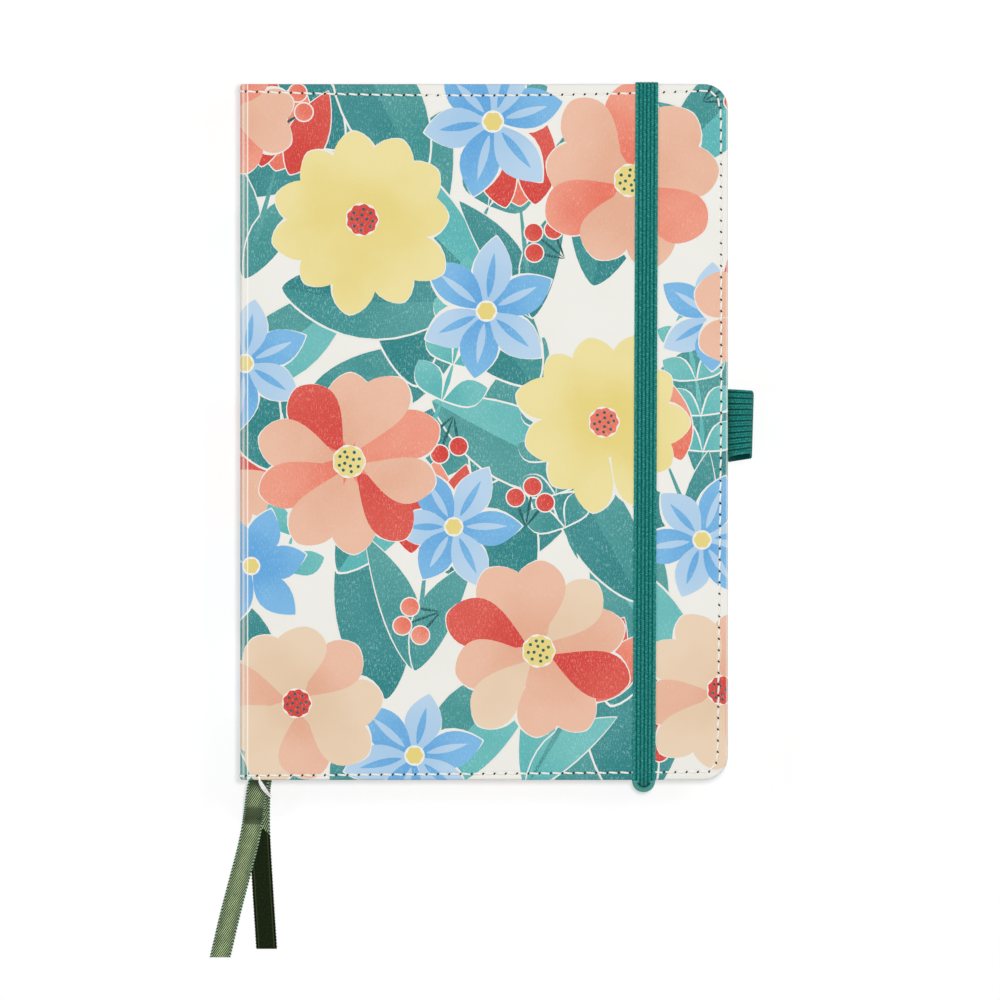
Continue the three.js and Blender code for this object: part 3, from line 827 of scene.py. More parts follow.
def berries(sheet, foot, angle, count, colour):
    """Round berries on short forked stalks."""
    for i in range(count):
        lean = angle + (i - (count - 1) / 2) * STALK_SPREAD
        reach = STALK_LENGTH + 3 * (i % 2)
        spot = turned([(reach, 0)], foot, lean)[0]
        sheet.lay("ink", blade(reach, STALK, 0.5, 5), foot, lean)
        sheet.lay("base", disc(BERRY + 0.4, steps=18), spot)
        sheet.lay(colour, disc(BERRY, steps=20), spot, 0, BERRY * 2.4, BERRY * 0.5)


# One repeat of the print, in millimetres from its lower left corner. The repeat on the back is shifted.
TILE = (170, 226)
LEAF_ROWS = 7
LEAF_COLUMNS = 5
LEAF_LENGTHS = (46, 60)
LEAF_WIDTHS = (20, 25)
LEAF_HEADING = 75
LEAF_SWING = 65
LEAF_TONES = (
    ("teal", "deep_teal"),
    ("deep_teal", "teal"),
    ("teal", "teal"),
    ("deep_teal", "deep_teal"),
    ("aqua", "teal"),
)
BACK_SHIFT = 47
SPRIGS = [
    ((66, 112), 46, 62, 4, 14, "aqua", 22),
    ((112, 74), 42, 118, 4, 13, "teal", -24),
    ((18, 60), 44, 66, 4, 13, "aqua", 18),
    ((150, 96), 44, 84, 4, 14, "aqua", 18),
    ((80, 172), 44, 60, 4, 14, "teal", 20),
]
TULIPS = [
    ((62, 40), 29, 84, ("red", "coral"), "teal"),
    ((152, 72), 27, 112, ("coral", "red"), "deep_teal"),
    ((10, 160), 28, 74, ("red", "coral"), "teal"),
    ((96, 4), 27, 60, ("coral", "red"), "aqua"),
    ((98, 148), 28, 96, ("red", "coral"), "deep_teal"),
]
DAISIES = [
    ((46, 178), 29, 11, ("yellow",), "red", 0),
    ((128, 190), 29, 9, ("peach", "peach", "coral"), "yellow", 8),
    ((42, 104), 29, 10, ("coral", "peach", "peach", "red", "peach"), "yellow", 20),
    ((120, 116), 27, 11, ("yellow",), "coral", 0),
    ((100, 46), 29, 10, ("peach", "sand", "peach", "peach", "red"), "yellow", 14),
    ((26, 30), 26, 9, ("sand", "peach", "sand"), "red", 4),
    ((156, 34), 26, 10, ("sand", "sand", "peach"), "red", 10),
    ((172, 150), 24, 9, ("red", "peach", "peach"), "yellow", 4),
    ((4, 210), 21, 9, ("peach", "coral", "peach"), "yellow", 14),
]
STARS = [
    ((86, 208), 23, ("blue", "sky"), 12),
    ((84, 150), 22, ("blue", "sky"), 22),
    ((74, 84), 20, ("blue", "sky"), 0),
    ((10, 134), 20, ("blue", "sky"), 24),
    ((150, 80), 20, ("sky", "blue"), 8),
    ((62, 14), 21, ("blue", "sky"), 15),
    ((12, 72), 19, ("blue", "blue"), 10),
    ((154, 148), 18, ("blue", "sky"), 30),
]
BERRIES = [
    ((74, 118), 250, 3, "red"),
    ((96, 84), 80, 3, "red"),
    ((20, 206), 60, 3, "coral"),
    ((70, 58), 200, 3, "coral"),
    ((128, 18), 10, 3, "red"),
    ((108, 166), 140, 3, "red"),
    ((150, 214), 30, 3, "red"),
]


def lay_leaves(sheet, move, pick):
    """Broad leaves in loose rows, each leaning its own way."""
    for row in range(LEAF_ROWS):
        for column in range(LEAF_COLUMNS):
            x = (column + 0.5 * (row % 2) + pick.uniform(-0.2, 0.2)) * TILE[0] / LEAF_COLUMNS
            y = (row + pick.uniform(-0.2, 0.2)) * TILE[1] / LEAF_ROWS
            swing = LEAF_SWING * math.sin(0.9 * row + 1.7 * column)
            angle = LEAF_HEADING + swing + pick.uniform(-15, 15)
            colour, second = LEAF_TONES[(row + 2 * column) % len(LEAF_TONES)]
            length, width = pick.uniform(*LEAF_LENGTHS), pick.uniform(*LEAF_WIDTHS)
            ribbed_leaf(sheet, move + (x, y), length, width, angle, colour, second, pick.uniform(-4, 4))


def lay_print():
    sheet = Print()
    for column in (-1, 0):
        for row in (-1, 0, 1):
            pick = random.Random(SEED)
            move = np.array([column * TILE[0], (row - 0.5) * TILE[1] + column * BACK_SHIFT])
            lay_leaves(sheet, move, pick)
            for foot, *how in SPRIGS:
                sprig(sheet, move + foot, *how)
            for foot, *how in TULIPS:
                tulip(sheet, move + foot, *how)
            for foot, *how in BERRIES:
                berries(sheet, move + foot, *how)
            for centre, *how in STARS:
                star(sheet, move + centre, *how, pick)
            for centre, *how in DAISIES:
                daisy(sheet, move + centre, *how, pick)
    return sheet.areas


def sheet_outline(margin):
    """The outline of half the sheet, from the middle of the spine, a margin outside the inset line."""
    edge, head, corner = INSET_EDGE + margin, INSET_HEAD + margin, INSET_CORNER + margin
    turn = np.linspace(0, math.pi / 2, 11)
    across = np.linspace(SPINE_MIDDLE, edge - corner, 60)
    up = np.linspace(corner - head, head - corner, 90)
    lower = [(s, -head) for s in across]
    low_corner = [(edge - corner * (1 - math.sin(a)), corner * (1 - math.cos(a)) - head) for a in turn[1:]]
    side = [(edge, t) for t in up[1:]]
    high_corner = [(edge - corner * (1 - math.cos(a)), head - corner * (1 - math.sin(a))) for a in turn[1:]]
    upper = [(s, head) for s in across[::-1][1:]]
    return np.array(lower + low_corner + side + high_corner + upper)


def inside(points, outline):
    """Which points lie inside an outline, by counting crossings."""
    x, y = points[:, 0], points[:, 1]
    odd = np.zeros(len(points), dtype=bool)
    for (x1, y1), (x2, y2) in zip(outline, np.roll(outline, -1, axis=0)):
        if y1 != y2:
            crosses = (y1 > y) != (y2 > y)
            odd ^= crosses & (x < (x2 - x1) * (y - y1) / (y2 - y1) + x1)
    return odd


def areas_on_half(areas, side):
    """The print's outlines in the s, t of one half of the sheet, without those that lie off it."""
    names = list(PALETTE)
    kept = []
    for colour, outline, origin, reach in areas:
        placed = outline * (side, 1) + (SPINE_MIDDLE, 0)
        low, high = placed.min(0), placed.max(0)
        across = high[0] > SPINE_MIDDLE and low[0] < INSET_EDGE + SHEET_MARGIN
        along = high[1] > -HEAD - SHEET_MARGIN and low[1] < HEAD + SHEET_MARGIN
        if across and along:
            kept.append((names.index(colour), placed, origin * (side, 1) + (SPINE_MIDDLE, 0), reach))
    return kept


def cut_sheet(areas):
    """Triangles of half the sheet, cut along every colour edge and every bend."""
    points, edges = [], []

    def chain(line, closed):
        first = len(points)
        points.extend(Vector(point) for point in line)
        edges.extend((first + i, first + i + 1) for i in range(len(line) - 1))
        if closed:
            edges.append((first + len(line) - 1, first))

    rounds = [ROLL * i / 4 for i in range(5)]
    wall = WRAP - 2 * EDGE_ROUNDING
    for margin in rounds + [ROLL + wall / 2] + [ROLL + wall + r for r in rounds]:
        chain(sheet_outline(margin), False)
    border = sheet_outline(SHEET_MARGIN)
    chain(border, True)
    top = INSET_HEAD + SHEET_MARGIN
    bends = list(np.arange(-ARC, 1.3, ARC / 16)) + [1.8, 2.4, 3.2, 4.4, SPINE_MIDDLE / 2 - ARC / 2]
    for s in bends:
        chain([(s, t) for t in np.linspace(-top, top, 91)], False)
    for _, outline, _, _ in areas:
        chain(outline, True)
    flat, _, faces, _, _, _ = delaunay_2d_cdt(points, edges, [], 0, 1e-4)
    flat = np.array([tuple(point) for point in flat])
    faces = np.array([face for face in faces if len(face) == 3])
    return flat, faces[inside(flat[faces].mean(1), border)]


def colour_sheet(flat, faces, areas):
    """Each triangle's colour is that of the last area over its middle. The wash is its place in that area."""
    middles = flat[faces].mean(1)
    colours = np.zeros(len(faces), dtype=np.int32)
    owners = np.full(len(faces), -1)
    for i, (colour, outline, _, _) in enumerate(areas):
        near = np.flatnonzero(np.all((middles > outline.min(0)) & (middles < outline.max(0)), axis=1))
        found = near[inside(middles[near], outline)]
        colours[found] = colour
        owners[found] = i
    wash = np.full((len(faces), 3), PLAIN_WASH)
    for i in np.unique(owners[owners >= 0]):
        mine = owners == i
        _, _, origin, reach = areas[i]
        wash[mine] = np.clip(np.linalg.norm(flat[faces[mine]] - origin, axis=2) / reach, 0, 1)
    return colours, wash


def printed_half(name, side, areas, materials):
    """Half of the case: the printed sheet folded into place, with its back."""
    areas = areas_on_half(areas, side)
    flat, faces = cut_sheet(areas)
    colours, wash = colour_sheet(flat, faces, areas)
    used, renumbered = np.unique(faces, return_inverse=True)
    faces = renumbered.reshape(faces.shape)
    flat = flat[used]
    if side < 0:
        faces, wash = faces[:, ::-1], wash[:, ::-1]
    outer = on_case(flat[:, 0], flat[:, 1], 0.0, side)
    inner = on_case(flat[:, 0], flat[:, 1], -LEATHER, side)
    count = len(outer)
    sides = np.concatenate([faces[:, [0, 1]], faces[:, [1, 2]], faces[:, [2, 0]]])
    _, first, uses = np.unique(np.sort(sides, axis=1), axis=0, return_index=True, return_counts=True)
    rim = [(b, a, a + count, b + count) for a, b in sides[first[uses == 1]]]
    every_face = faces.tolist() + (faces[:, ::-1] + count).tolist() + rim
    plain = len(every_face) - len(faces)
    face_materials = np.concatenate([colours, np.full(plain, len(materials) - 1)])
    points, flat = np.concatenate([outer, inner]), np.concatenate([flat, flat])
    piece = make_object(name, points, every_face, materials, flat, face_materials)
    layer = piece.data.attributes.new("wash", "FLOAT", "CORNER")
    values = np.full(len(piece.data.loops), BACK_WASH, dtype=np.float32)
    values[: wash.size] = wash.ravel()
    layer.data.foreach_set("value", values)
    return piece


def bend_front(piece):
    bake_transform(piece)


def bend_back(piece):
    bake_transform(piece)


def add_case():
    materials = [leatherette(name, *tones) for name, tones in PALETTE.items()]
    materials.append(fibrous("leather_back", (214, 208, 196), (232, 228, 218), 900, 4.0, 0.08, 0.9))
    areas = lay_print()
    front = printed_half("front_case", 1, areas, materials)
    back = printed_half("back_case", -1, areas, materials)
    bend_front(front)
    bend_back(back)
    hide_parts("front_cover_wrap", "front_joint", "spine_wrap")
    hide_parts("back_cover_wrap", "back_joint")


# The seam round each cover: short stitches from needle hole to needle hole, a little slanted
STITCH_PITCH = 3.45
STITCH_THREAD = 0.66
STITCH_SHARE = (0.10, 0.90)
STITCH_RISE = 0.30
STITCH_SINK = 0.14
STITCH_SLANT = 0.34
STITCH_ENDS = 0.7
STITCH_SQUAT = 0.6
PRESSED = 0.09
HOLE = (0.44, 0.28)
HOLE_TURN = 52
HOLE_LIFT = 0.02
# Places on the way round the fore-edge: from its line, and from the seam before or the middle of the height
HEAD_TURN = ((-1.3, -0.7), (-0.2, -3.9), (0.2, -8))
EDGE_BEND = ((0.3, 10), (-0.35, -58))
TAIL_TURN = ((-0.75, 7), (-0.85, 3.3), (-2.8, 0.6))


def seam_places():
    """Needle holes along the seam, from the spine along the head, the fore-edge and the tail."""
    across = np.linspace(SPINE_MIDDLE, EDGE_LINE - 3.5, 30)
    head = HEAD - HEAD_SEAM + SEAM_SAG * ((across - SEAM_MIDDLE) / SEAM_SPAN) ** 2
    tail = TAIL_SEAM - HEAD + TAIL_SLOPE * across
    parts = ((HEAD_TURN, head[-1]), (EDGE_BEND, 0), (TAIL_TURN, tail[-1]))
    fore_edge = [(EDGE_LINE + s, level + t) for places, level in parts for s, t in places]
    route = np.array([*zip(across, head), *fore_edge, *zip(across[::-1], tail[::-1])])
    along = lengths_along(route)
    wanted = np.linspace(0, along[-1], round(along[-1] / STITCH_PITCH) + 1)
    return np.stack([np.interp(wanted, along, route[:, i]) for i in range(2)], 1)


def add_seam(name, side, bend, materials):
    """The stitches of one cover. Those of the cover that lies on the table are pressed flat."""
    pressed = 1.0 if side > 0 else PRESSED
    points, flat, faces, face_materials = [], [], [], []

    def put(st, lift, one_map, new_faces, material):
        first = len(points)
        points.extend(on_case(st[..., 0], st[..., 1], lift, side).reshape(-1, 3).tolist())
        flat.extend(one_map.reshape(-1, 2).tolist())
        faces.extend([tuple(first + i for i in face)[::side] for face in new_faces])
        face_materials.extend([material] * len(new_faces))

    share = np.linspace(*STITCH_SHARE, 8)
    angles = all_round(7)
    stitch = capped_faces(len(share), len(angles))
    arch = np.sin(math.pi * (share - STITCH_SHARE[0]) / (STITCH_SHARE[1] - STITCH_SHARE[0])) ** 0.5
    height = STITCH_RISE * arch - STITCH_SINK
    radius = STITCH_THREAD / 2 * (STITCH_ENDS + (1 - STITCH_ENDS) * arch)
    lift = pressed * (height[:, None] + STITCH_SQUAT * radius[:, None] * np.sin(angles))
    stitch_map = stacked(share[:, None] * STITCH_PITCH, angles)
    places = seam_places()
    for start, end in zip(places, places[1:]):
        along = unit(end - start)
        aside = np.array([-along[1], along[0]])
        line = start + np.outer(share, end - start) + np.outer(STITCH_SLANT * (0.5 - share), aside)
        st = line[:, None] + (radius[:, None] * np.cos(angles))[..., None] * aside
        put(st, lift, stitch_map, stitch, 0)
    # Each needle hole is a flat dark oval laid on the surface: painted shade of the hole.
    rim = all_round(12)
    oval = np.stack([HOLE[0] * np.cos(rim), HOLE[1] * np.sin(rim)], 1)
    fan = [(0, 1 + i, 1 + (i + 1) % len(rim)) for i in range(len(rim))]
    for place, heading in zip(places, np.gradient(places, axis=0)):
        turn = HOLE_TURN + math.degrees(math.atan2(heading[1], heading[0]))
        st = np.concatenate([[place], place + turned(oval, (0, 0), turn)])
        put(st, HOLE_LIFT, st, fan, 1)
    piece = make_object(name, points, faces, materials, flat, face_materials)
    bend(piece)


# The loose end of the thread: three flat strands. Each place is X, how far it drifts, Y, the same, and Z.
STRAND_DRIFTS = (-0.36, 0.0, 0.36)
STRAND_SQUAT = 0.3
STRAND_RADIUS = 0.28
STRAND_TAPER = 0.12
STRAND = (
    (-68.85, 0, -105.4, 0, 0.12),
    (-68.75, 0, -106.4, 0, 0.30),
    (-68.2, 1, -107.6, 0, -0.2),
    (-67.3, 1.4, -109.2, 0, -1.1),
    (-66.2, 1, -110.7, 0, -2.3),
    (-65.2, 0, -111.7, 0.4, -3.2),
)


def tube(name, line, radii, material):
    """A flattened tube along points in millimetres, with a map of its length and the way round it."""
    tangents = unit(np.gradient(line, axis=0))
    across = unit(np.cross(tangents, (0, 0, 1)))
    over = np.cross(across, tangents)
    angles = all_round(8)
    ring = np.cos(angles)[:, None] * across[:, None] + STRAND_SQUAT * np.sin(angles)[:, None] * over[:, None]
    points = (line[:, None] + radii[:, None, None] * ring).reshape(-1, 3)
    flat = stacked(lengths_along(line)[:, None], angles).reshape(-1, 2)
    return make_object(name, points, capped_faces(len(line), len(angles)), [material], flat)


def smooth_line(places, per_stretch):
    """A centripetal Catmull-Rom line through points, the same as the CAD model uses for its ribbons."""
    places = np.asarray(places, float)
    padded = np.concatenate([[2 * places[0] - places[1]], places, [2 * places[-1] - places[-2]]])
    u = np.arange(per_stretch)[:, None] / per_stretch
    line = []
    for p0, p1, p2, p3 in zip(padded, padded[1:], padded[2:], padded[3:]):
        d0, d1, d2 = (max(np.linalg.norm(b - a) ** 0.5, 1e-4) for a, b in ((p0, p1), (p1, p2), (p2, p3)))
        t1 = ((p1 - p0) / d0 - (p2 - p0) / (d0 + d1) + (p2 - p1) / d1) * d1
        t2 = ((p2 - p1) / d1 - (p3 - p1) / (d1 + d2) + (p3 - p2) / d2) * d1
        leaving = p1 * (2 * u**3 - 3 * u**2 + 1) + t1 * (u**3 - 2 * u**2 + u)
        line.append(leaving + p2 * (3 * u**2 - 2 * u**3) + t2 * (u**3 - u**2))
    return np.concatenate([*line, places[-1:]])


def add_seams():
    hole = fibrous("needle_hole_shade", (34, 28, 22), (72, 60, 46), 6000, 2.0, 0.05, 0.95, Specular_IOR_Level=0.1)
    materials = [sewing_cotton(), hole]
    add_seam("front_stitches", 1, bend_front, materials)
    add_seam("back_stitches", -1, bend_back, materials)
    strand = loose_strand()
    for i, drift in enumerate(STRAND_DRIFTS):
        line = smooth_line([(x + dx * drift, y + dy * drift, THICKNESS + z) for x, dx, y, dy, z in STRAND], 8)
        radii = STRAND_RADIUS - STRAND_TAPER * np.linspace(0, 1, len(line)) ** 2
        piece = tube(f"thread_end_{i + 1}", line, radii, strand)
        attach(piece, "front_cover")


# Closure band: six cords side by side. Its line, in Y and Z, is the middle of the band in the CAD model.
BAND = 0.6
BAND_BEND = 1.2
BAND_BULGE = 3.3
CORDS = 6
CORD_DEPTH = 0.17
CREASE_RADIUS = 1.9
CREASE_WIDTH = 0.24
CREASE_FROM = 0.6
# Ridge level of the band's plain rim, which the elastic paints lighter as a highlight
RIM_HIGHLIGHT_LEVEL = 1.5
CROWDING = 0.35
BAND_SIDE = 0.25
BAND_LEAN = 0.45


def band_line():
    """Points in Y and Z with the outward direction at each, from the tail end to the head end."""
    reach, top = band_high[1] - BAND / 2, band_high[2] - BAND / 2
    start, shoulder = band_low[2], top - BAND_BEND
    turn = [(math.cos(a), math.sin(a)) for a in np.linspace(0, math.pi / 2, 10)]
    line = [(-reach, z, -1, 0) for z in np.linspace(start, shoulder, 36)[:-1]]
    line += [(BAND_BEND - reach - BAND_BEND * c, shoulder + BAND_BEND * s, -c, s) for c, s in turn]
    line += [(y, top, 0, 1) for y in np.linspace(BAND_BEND - reach, reach - BAND_BEND, 60)[1:-1]]
    line += [(reach - BAND_BEND + BAND_BEND * c, shoulder + BAND_BEND * s, c, s) for c, s in turn[::-1]]
    line += [(reach, z, 1, 0) for z in np.linspace(shoulder, start, 12)[1:]]
    return np.array(line)


def cord_profile(across, half, cords, roundness=0.7):
    """1 on top of each cord and 0 between two. The outer sides of the first and last cord stay up."""
    pitch = 2 * half / cords
    wave_height = np.abs(np.sin(math.pi * (across + half) / pitch)) ** roundness
    return np.where(np.abs(across) > half - pitch / 2, 1.0, wave_height)


def add_band():
    line = band_line()
    centre = (band_low[0] + band_high[0]) / 2
    half = (band_high[0] - band_low[0]) / 2
    share = np.linspace(-1, 1, 16 * CORDS + 1)
    across = half * (CROWDING * np.sin(share * math.pi / 2) + (1 - CROWDING) * share)
    y, z, out_y, out_z = (line[:, i, None] for i in range(4))
    height = np.clip((z - band_low[2]) / (THICKNESS - band_low[2]), 0, 1)
    bulge = BAND_BULGE * np.sin(math.pi * height) * np.sqrt(1 - (across / half) ** 2) * (y < -HEAD)
    sunk = y - bulge
    from_crease = np.hypot(across, np.minimum(sunk + HEAD, 0)) - CREASE_RADIUS
    tail = (sunk < -HEAD) & (z > THICKNESS / 2)
    # Painted light: the plain rim past the crease is painted lighter as a highlight, and the crease is dented
    # and painted darker as shade.
    plain = np.clip(2 * from_crease + 0.5, 0, 1) * tail
    crease = np.exp(-((from_crease / CREASE_WIDTH) ** 2)) * tail * (sunk < -HEAD - CREASE_FROM)
    ridge = cord_profile(across, half, CORDS) * (1 - plain) + RIM_HIGHLIGHT_LEVEL * (plain - crease)
    edge = BAND / 2 * (BAND_SIDE + (1 - BAND_SIDE) * np.sqrt(1 - (across / half) ** 8))
    sheets = []
    for side, lift in ((1, edge - CORD_DEPTH * (1 - np.minimum(ridge, 1))), (-1, edge)):
        x = centre + across + BAND_LEAN * y / HEAD
        sheets.append(stacked(x, sunk + side * out_y * lift, z + side * out_z * lift))
    steps = lengths_along(line[:, :2])[:, None]
    piece = slab("closure_band_elastic", sheets, stacked(across, steps), [elastic("elastic")])
    point_values(piece, "ridge", ridge, np.ones(ridge.shape))
    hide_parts("closure_band")
    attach(piece, "closure_band")
    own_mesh(piece)


# Pen loop: the same elastic, wider, its cords running round the loop. It stands a little askew.
LOOP_WALL = 0.9
LOOP_TAB = 0.4
LOOP_CORDS = 23
LOOP_CORD_DEPTH = 0.26
LOOP_CORD_ROUNDNESS = 1.7
LOOP_ROUNDING = 0.35
LOOP_END = 0.5
LOOP_NARROWING = 0.55
LOOP_SKEW = 1.7
SHALLOW_GAP = 0.3
RIM_RISE = 1.9
RIM_TURN = 0.12
TAB_GROOVE = 0.1
LOOP_TAPER = (1.3, 0.5)


def add_loop():
    tab_level = TAB_LEVEL + LOOP_TAB / 2
    height = loop_high[2] - loop_low[2]
    skew = LOOP_SKEW / height
    high = loop_high[1] - skew * (loop_high[2] - tab_level)
    low = loop_low[1] + skew * (tab_level - loop_low[2])
    half_x, half_y, half_z = LOOP_HALF, (high - low) / 2, height / 2
    centre_x, centre_z = loop_high[0] - half_x, loop_low[2] + half_z
    y = np.linspace(low, high, LOOP_CORDS * 10 + 1)[:, None]
    off_middle = y - (low + high) / 2
    angle = all_round(72)
    nearest = np.round((y - low) / (high - low) * LOOP_CORDS)
    gap = np.where(nearest % 2 == 0, 1.0, SHALLOW_GAP)
    ridge = 1 - (1 - cord_profile(off_middle, half_y, LOOP_CORDS, LOOP_CORD_ROUNDNESS)) * gap
    end = np.clip((half_y - np.abs(off_middle)) / LOOP_END, 0, 1)
    edge = LOOP_ROUNDING * (1 - np.sqrt(1 - (1 - end) ** 2))
    narrowing = LOOP_NARROWING * (high - y) / (high - low)
    raised = np.clip(0.5 + RIM_RISE * np.sin(angle - RIM_TURN), 0, 1)
    shift = -skew * (tab_level - loop_low[2]) + LOOP_SKEW * raised
    sheets = []
    for drop in (edge + LOOP_CORD_DEPTH * (1 - ridge), LOOP_WALL - edge):
        x = centre_x - narrowing / 2 + (half_x - drop - narrowing / 2) * np.cos(angle)
        z = centre_z + (half_z - drop) * np.sin(angle)
        outward = (x - centre_x + half_x) / (2 * half_x)
        taper = outward * (LOOP_TAPER[0] * (high - y) - LOOP_TAPER[1] * (y - low)) / (high - low)
        sheets.append(stacked(x, y + shift + taper, z))
    one_map = stacked(y, angle * (half_x + half_z) / 2)
    finish = elastic("loop_elastic")
    piece = slab("pen_loop_elastic", sheets, one_map, [finish], turned_faces=True, closed=True)
    # The inner face takes ridge 0: the dark groove colour, painted as the shade inside the loop.
    point_values(piece, "ridge", np.broadcast_to(ridge, one_map.shape[:2]), np.zeros(one_map.shape[:2]))
    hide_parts("pen_loop")
    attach(piece, "back_cover")
    add_loop_tab(low, high, centre_x - half_x + LOOP_WALL, tab_level)


def add_loop_tab(low, high, end, level):
    """The two ends of the loop's elastic, caught under the lining."""
    y = np.linspace(low, high, 8 * LOOP_CORDS + 1)[:, None]
    x = np.linspace(loop_low[0], end, 14)
    ridge = cord_profile(y - (low + high) / 2, (high - low) / 2, LOOP_CORDS)
    half_thick = LOOP_TAB / 2 - TAB_GROOVE * (1 - ridge)
    sheets = [stacked(x, y, level + side * half_thick) for side in (1, -1)]
    piece = slab("pen_loop_tab", sheets, stacked(y, x), [elastic("loop_elastic")], turned_faces=True)
    ridges = np.broadcast_to(ridge, (len(y), len(x)))
    point_values(piece, "ridge", ridges, ridges)
    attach(piece, "back_cover")


# Ribbon markers, along the routes that the CAD model gives them
RIBBON = 0.24
PICOT = 0.10
RIBBON_STEP = 0.11
# Places across a ribbon, as shares of its half width. Past EDGE_FROM lie the loops, which are thinner.
RIBBON_COLUMNS = np.array([-1, -0.94, -0.86, -0.7, -0.45, -0.2, 0, 0.2, 0.45, 0.7, 0.86, 0.94, 1])
EDGE_FROM = 0.9
EDGE_THINNESS = 0.55
RIBBON_A = [
    (-67.6, -103.8, 10.4),
    (-69.0, -106.6, 10.2),
    (-69.75, -110.2, 9.2),
    (-70.35, -114.4, 6.9),
    (-70.85, -117.7, 3.6),
    (-71.25, -120.1, 0.95),
    (-72.5, -126.5, 0.75),
    (-74.7, -135.0, 0.35),
    (-78.1, -148.0, 0.2),
    (-81.3, -161.6, 0.2),
]
RIBBON_B = [
    (-67.4, -103.8, 7.5),
    (-68.3, -106.6, 7.05),
    (-68.85, -109.5, 4.6),
    (-69.05, -113.0, 1.7),
    (-69.15, -117.5, 0.35),
    (-69.0, -125.0, 0.2),
    (-68.1, -141.0, 0.2),
    (-66.95, -159.0, 0.2),
]
# Where it lies in shade: from Y, to Y, over how many millimetres that ends, and how deep it is
RIBBON_A_SHADED = ((-104.5, -110.6, 3.4, 0.95), (-115.2, -120.6, 0.2, 0.72))
RIBBON_TURN = -121.1
TURN_SLANT = 0.9


def even_line(places):
    """The line through points in even steps, and the length along it."""
    fine = smooth_line(places, 60)
    along = lengths_along(fine)
    wanted = np.linspace(0, along[-1], int(along[-1] / RIBBON_STEP) + 1)
    return np.stack([np.interp(wanted, along, fine[:, i]) for i in range(3)], 1), wanted


def ribbon(name, line, along, materials, turned_at=math.inf):
    """A flat ribbon with small loops along its edges, its width level. Past turned_at its back is up."""
    normal = -unit(np.cross((1, 0, 0), np.gradient(line, axis=0)))
    looped = np.abs(RIBBON_COLUMNS) > EDGE_FROM
    scallop = PICOT * np.cos(2 * math.pi * along / PICOT_PITCH)[:, None] * looped
    across = RIBBON_COLUMNS * (RIBBON_WIDTH / 2 - PICOT) + np.sign(RIBBON_COLUMNS) * scallop
    middle = line[:, None] + across[..., None] * np.array((1.0, 0, 0))
    rise = (RIBBON / 2 * np.where(looped, EDGE_THINNESS, 1.0))[:, None] * normal[:, None]
    one_map = stacked(across, along[:, None])

    def back_up(where):
        return where[:, 1] - TURN_SLANT * where[:, 0] > turned_at

    return slab(name, [middle + rise, middle - rise], one_map, materials, choose=back_up)


def add_ribbon(name, places, materials, turned_over):
    line, along = even_line(places)
    turned_at = float(np.interp(-RIBBON_TURN, -line[:, 1], along)) if turned_over else math.inf
    piece = ribbon(name + "_satin", line, along, materials, turned_at)
    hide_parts(name + "_tail")
    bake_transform(piece)


def add_ribbon_inside(name, materials):
    low, high = span(name)
    x, _, z = (low + high) / 2
    line, along = even_line([(x, y, z) for y in (high[1], (low[1] + high[1]) / 2, low[1])])
    piece = ribbon(name + "_satin", line, along, materials)
    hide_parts(name)
    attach(piece, "text_block")


def add_ribbons():
    line, along = even_line(RIBBON_A)
    shaded = []
    for start, end, fade, depth in RIBBON_A_SHADED:
        reached = np.interp((-start, -end), -line[:, 1], along)
        shaded.append((float(reached[0]), float(reached[1]), fade, depth))
    back = satin_back()
    materials = [satin("satin"), back]
    add_ribbon("ribbon_a", RIBBON_A, [satin("satin_bent_shaded", shaded), back], False)
    add_ribbon("ribbon_b", RIBBON_B, materials, True)
    add_ribbon_inside("ribbon_a_inside", materials)
    add_ribbon_inside("ribbon_b_inside", materials)


# Loose leaves: thin sheets, round at their two outer corners, with close columns of points near the spine
PAGE_CORNER = 5.5
LEAF_BEND = 21.0


def leaf_sheet(name, node, material):
    low, high = span(node)
    bend = low[0] + np.linspace(0, LEAF_BEND, 22)
    rounding = high[0] - PAGE_CORNER
    open_part = np.linspace(bend[-1], rounding, 20)[1:]
    corner = rounding + PAGE_CORNER * np.sin(np.linspace(0, math.pi / 2, 11))[1:]
    x = np.concatenate([bend, open_part, corner])[:, None]
    past = np.clip(x - rounding, 0, PAGE_CORNER)
    y = (high[1] - PAGE_CORNER + np.sqrt(PAGE_CORNER**2 - past**2)) * np.linspace(-1, 1, 41)
    sheets = [stacked(x, y, level) for level in (high[2], low[2])]
    piece = slab(name, sheets, stacked(x, y), [material], turned_faces=True)
    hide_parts(node)
    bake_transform(piece)
    return piece


def add_leaves():
    dotted = page_paper("page_paper", dotted=True)
    plain = page_paper("flyleaf_paper")
    for i in range(1, 5):
        leaf_sheet(f"page_leaf_{i}", f"leaf_{i}", dotted)
    leaf_sheet("front_flyleaf_sheet", "front_flyleaf", plain)


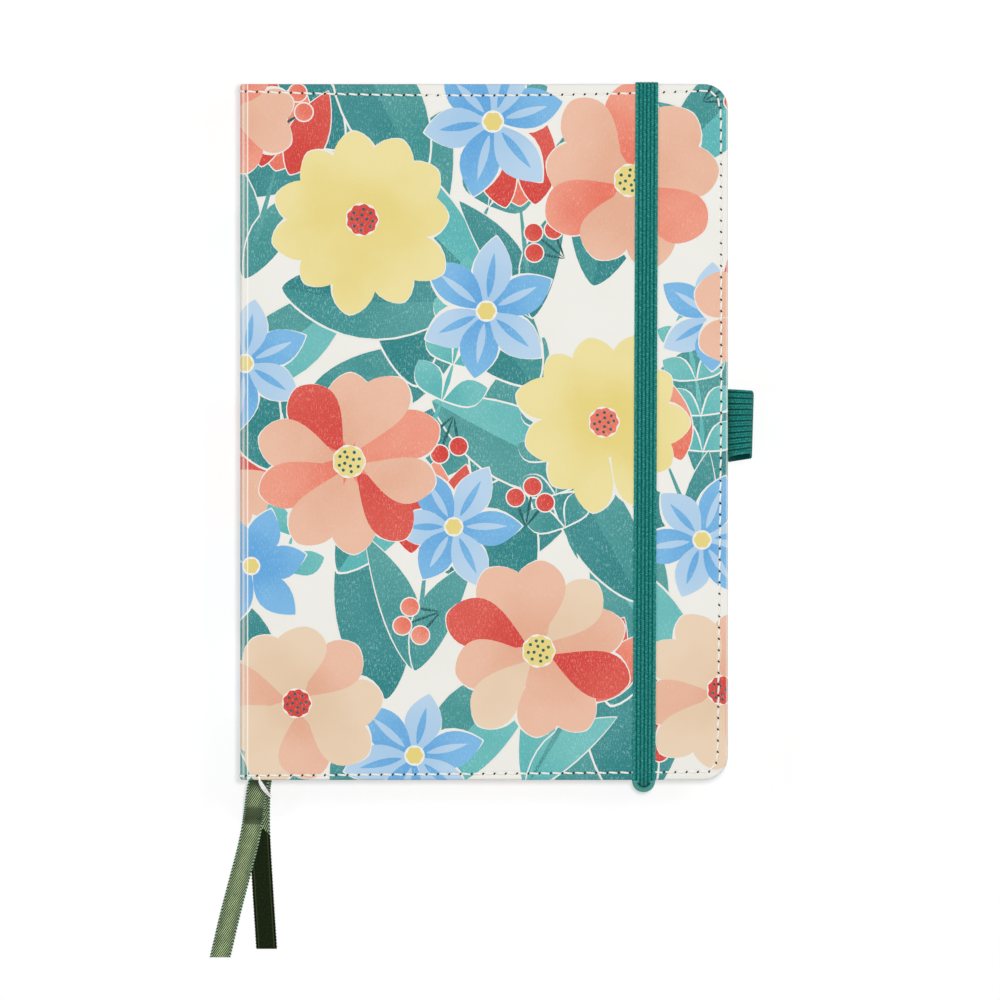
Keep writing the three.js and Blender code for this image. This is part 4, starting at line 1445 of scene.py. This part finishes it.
# Pocket gussets: strips folded once along their length. One half keeps to the cover, the other to the pocket.
GUSSET_PAPER = 0.03


def add_gusset(node, side, material):
    low, high = span(node)
    outer, inner = (high[1], low[1]) if side > 0 else (low[1], high[1])
    share = np.linspace(0, 1, 17)
    x = np.linspace(low[0], high[0], 30)[:, None]
    y = outer + (inner - outer) * (1 - np.abs(2 * share - 1))
    z = low[2] + GUSSET_PAPER + (high[2] - low[2] - 2 * GUSSET_PAPER) * share
    toward = np.where(share < 0.5, GUSSET_PAPER / 2, -GUSSET_PAPER / 2)
    sheets = [stacked(x, y, z + toward), stacked(x, y, z - toward)]
    piece = slab(node + "_fold", sheets, stacked(x, y), [material])
    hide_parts(node)
    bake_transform(piece)


def add_gussets():
    paper = page_paper("gusset_paper")
    add_gusset("pocket_gusset_head", 1, paper)
    add_gusset("pocket_gusset_tail", -1, paper)


# Finishes for the pieces of the CAD model that keep their own shape
def dress_nodes():
    endpaper = mottled("endpaper", (226, 221, 204), (240, 236, 222), 900, 0.02, 0.85)
    board = mottled("grey_board", (138, 132, 120), (176, 170, 156), 700, 0.08, 0.95)
    cotton = mottled("block_thread", (214, 206, 186), (246, 240, 226), 2500, 0.08, 0.7, (1, 1, 3))
    mull = woven("mull", (206, 198, 178), (236, 230, 214), 1.1, "Y")
    headband = woven("headband_weave", (34, 112, 104), (240, 236, 224), 0.9, "Z")
    tab = woven("elastic_tab", (8, 74, 66), (26, 124, 108), 1.17, "X")
    finishes = [
        (page_block(), "signature_"),
        (endpaper, "back_flyleaf", "front_lining", "back_lining", "pocket_panel", "spine_liner"),
        (board, "front_board", "back_board", "spine_board"),
        (cotton, "sewing_thread_"),
        (mull, "spine_mull"),
        (headband, "headband", "tailband"),
        (tab, "band_anchor_"),
    ]
    for node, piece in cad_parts.items():
        for material, *starts in finishes:
            if node.startswith(tuple(starts)):
                for slot in piece.material_slots:
                    slot.material = material


add_camera()
add_ribbons()
add_light()
add_floor()
add_case()
add_seams()
add_band()
add_loop()
add_leaves()
add_gussets()
dress_nodes()
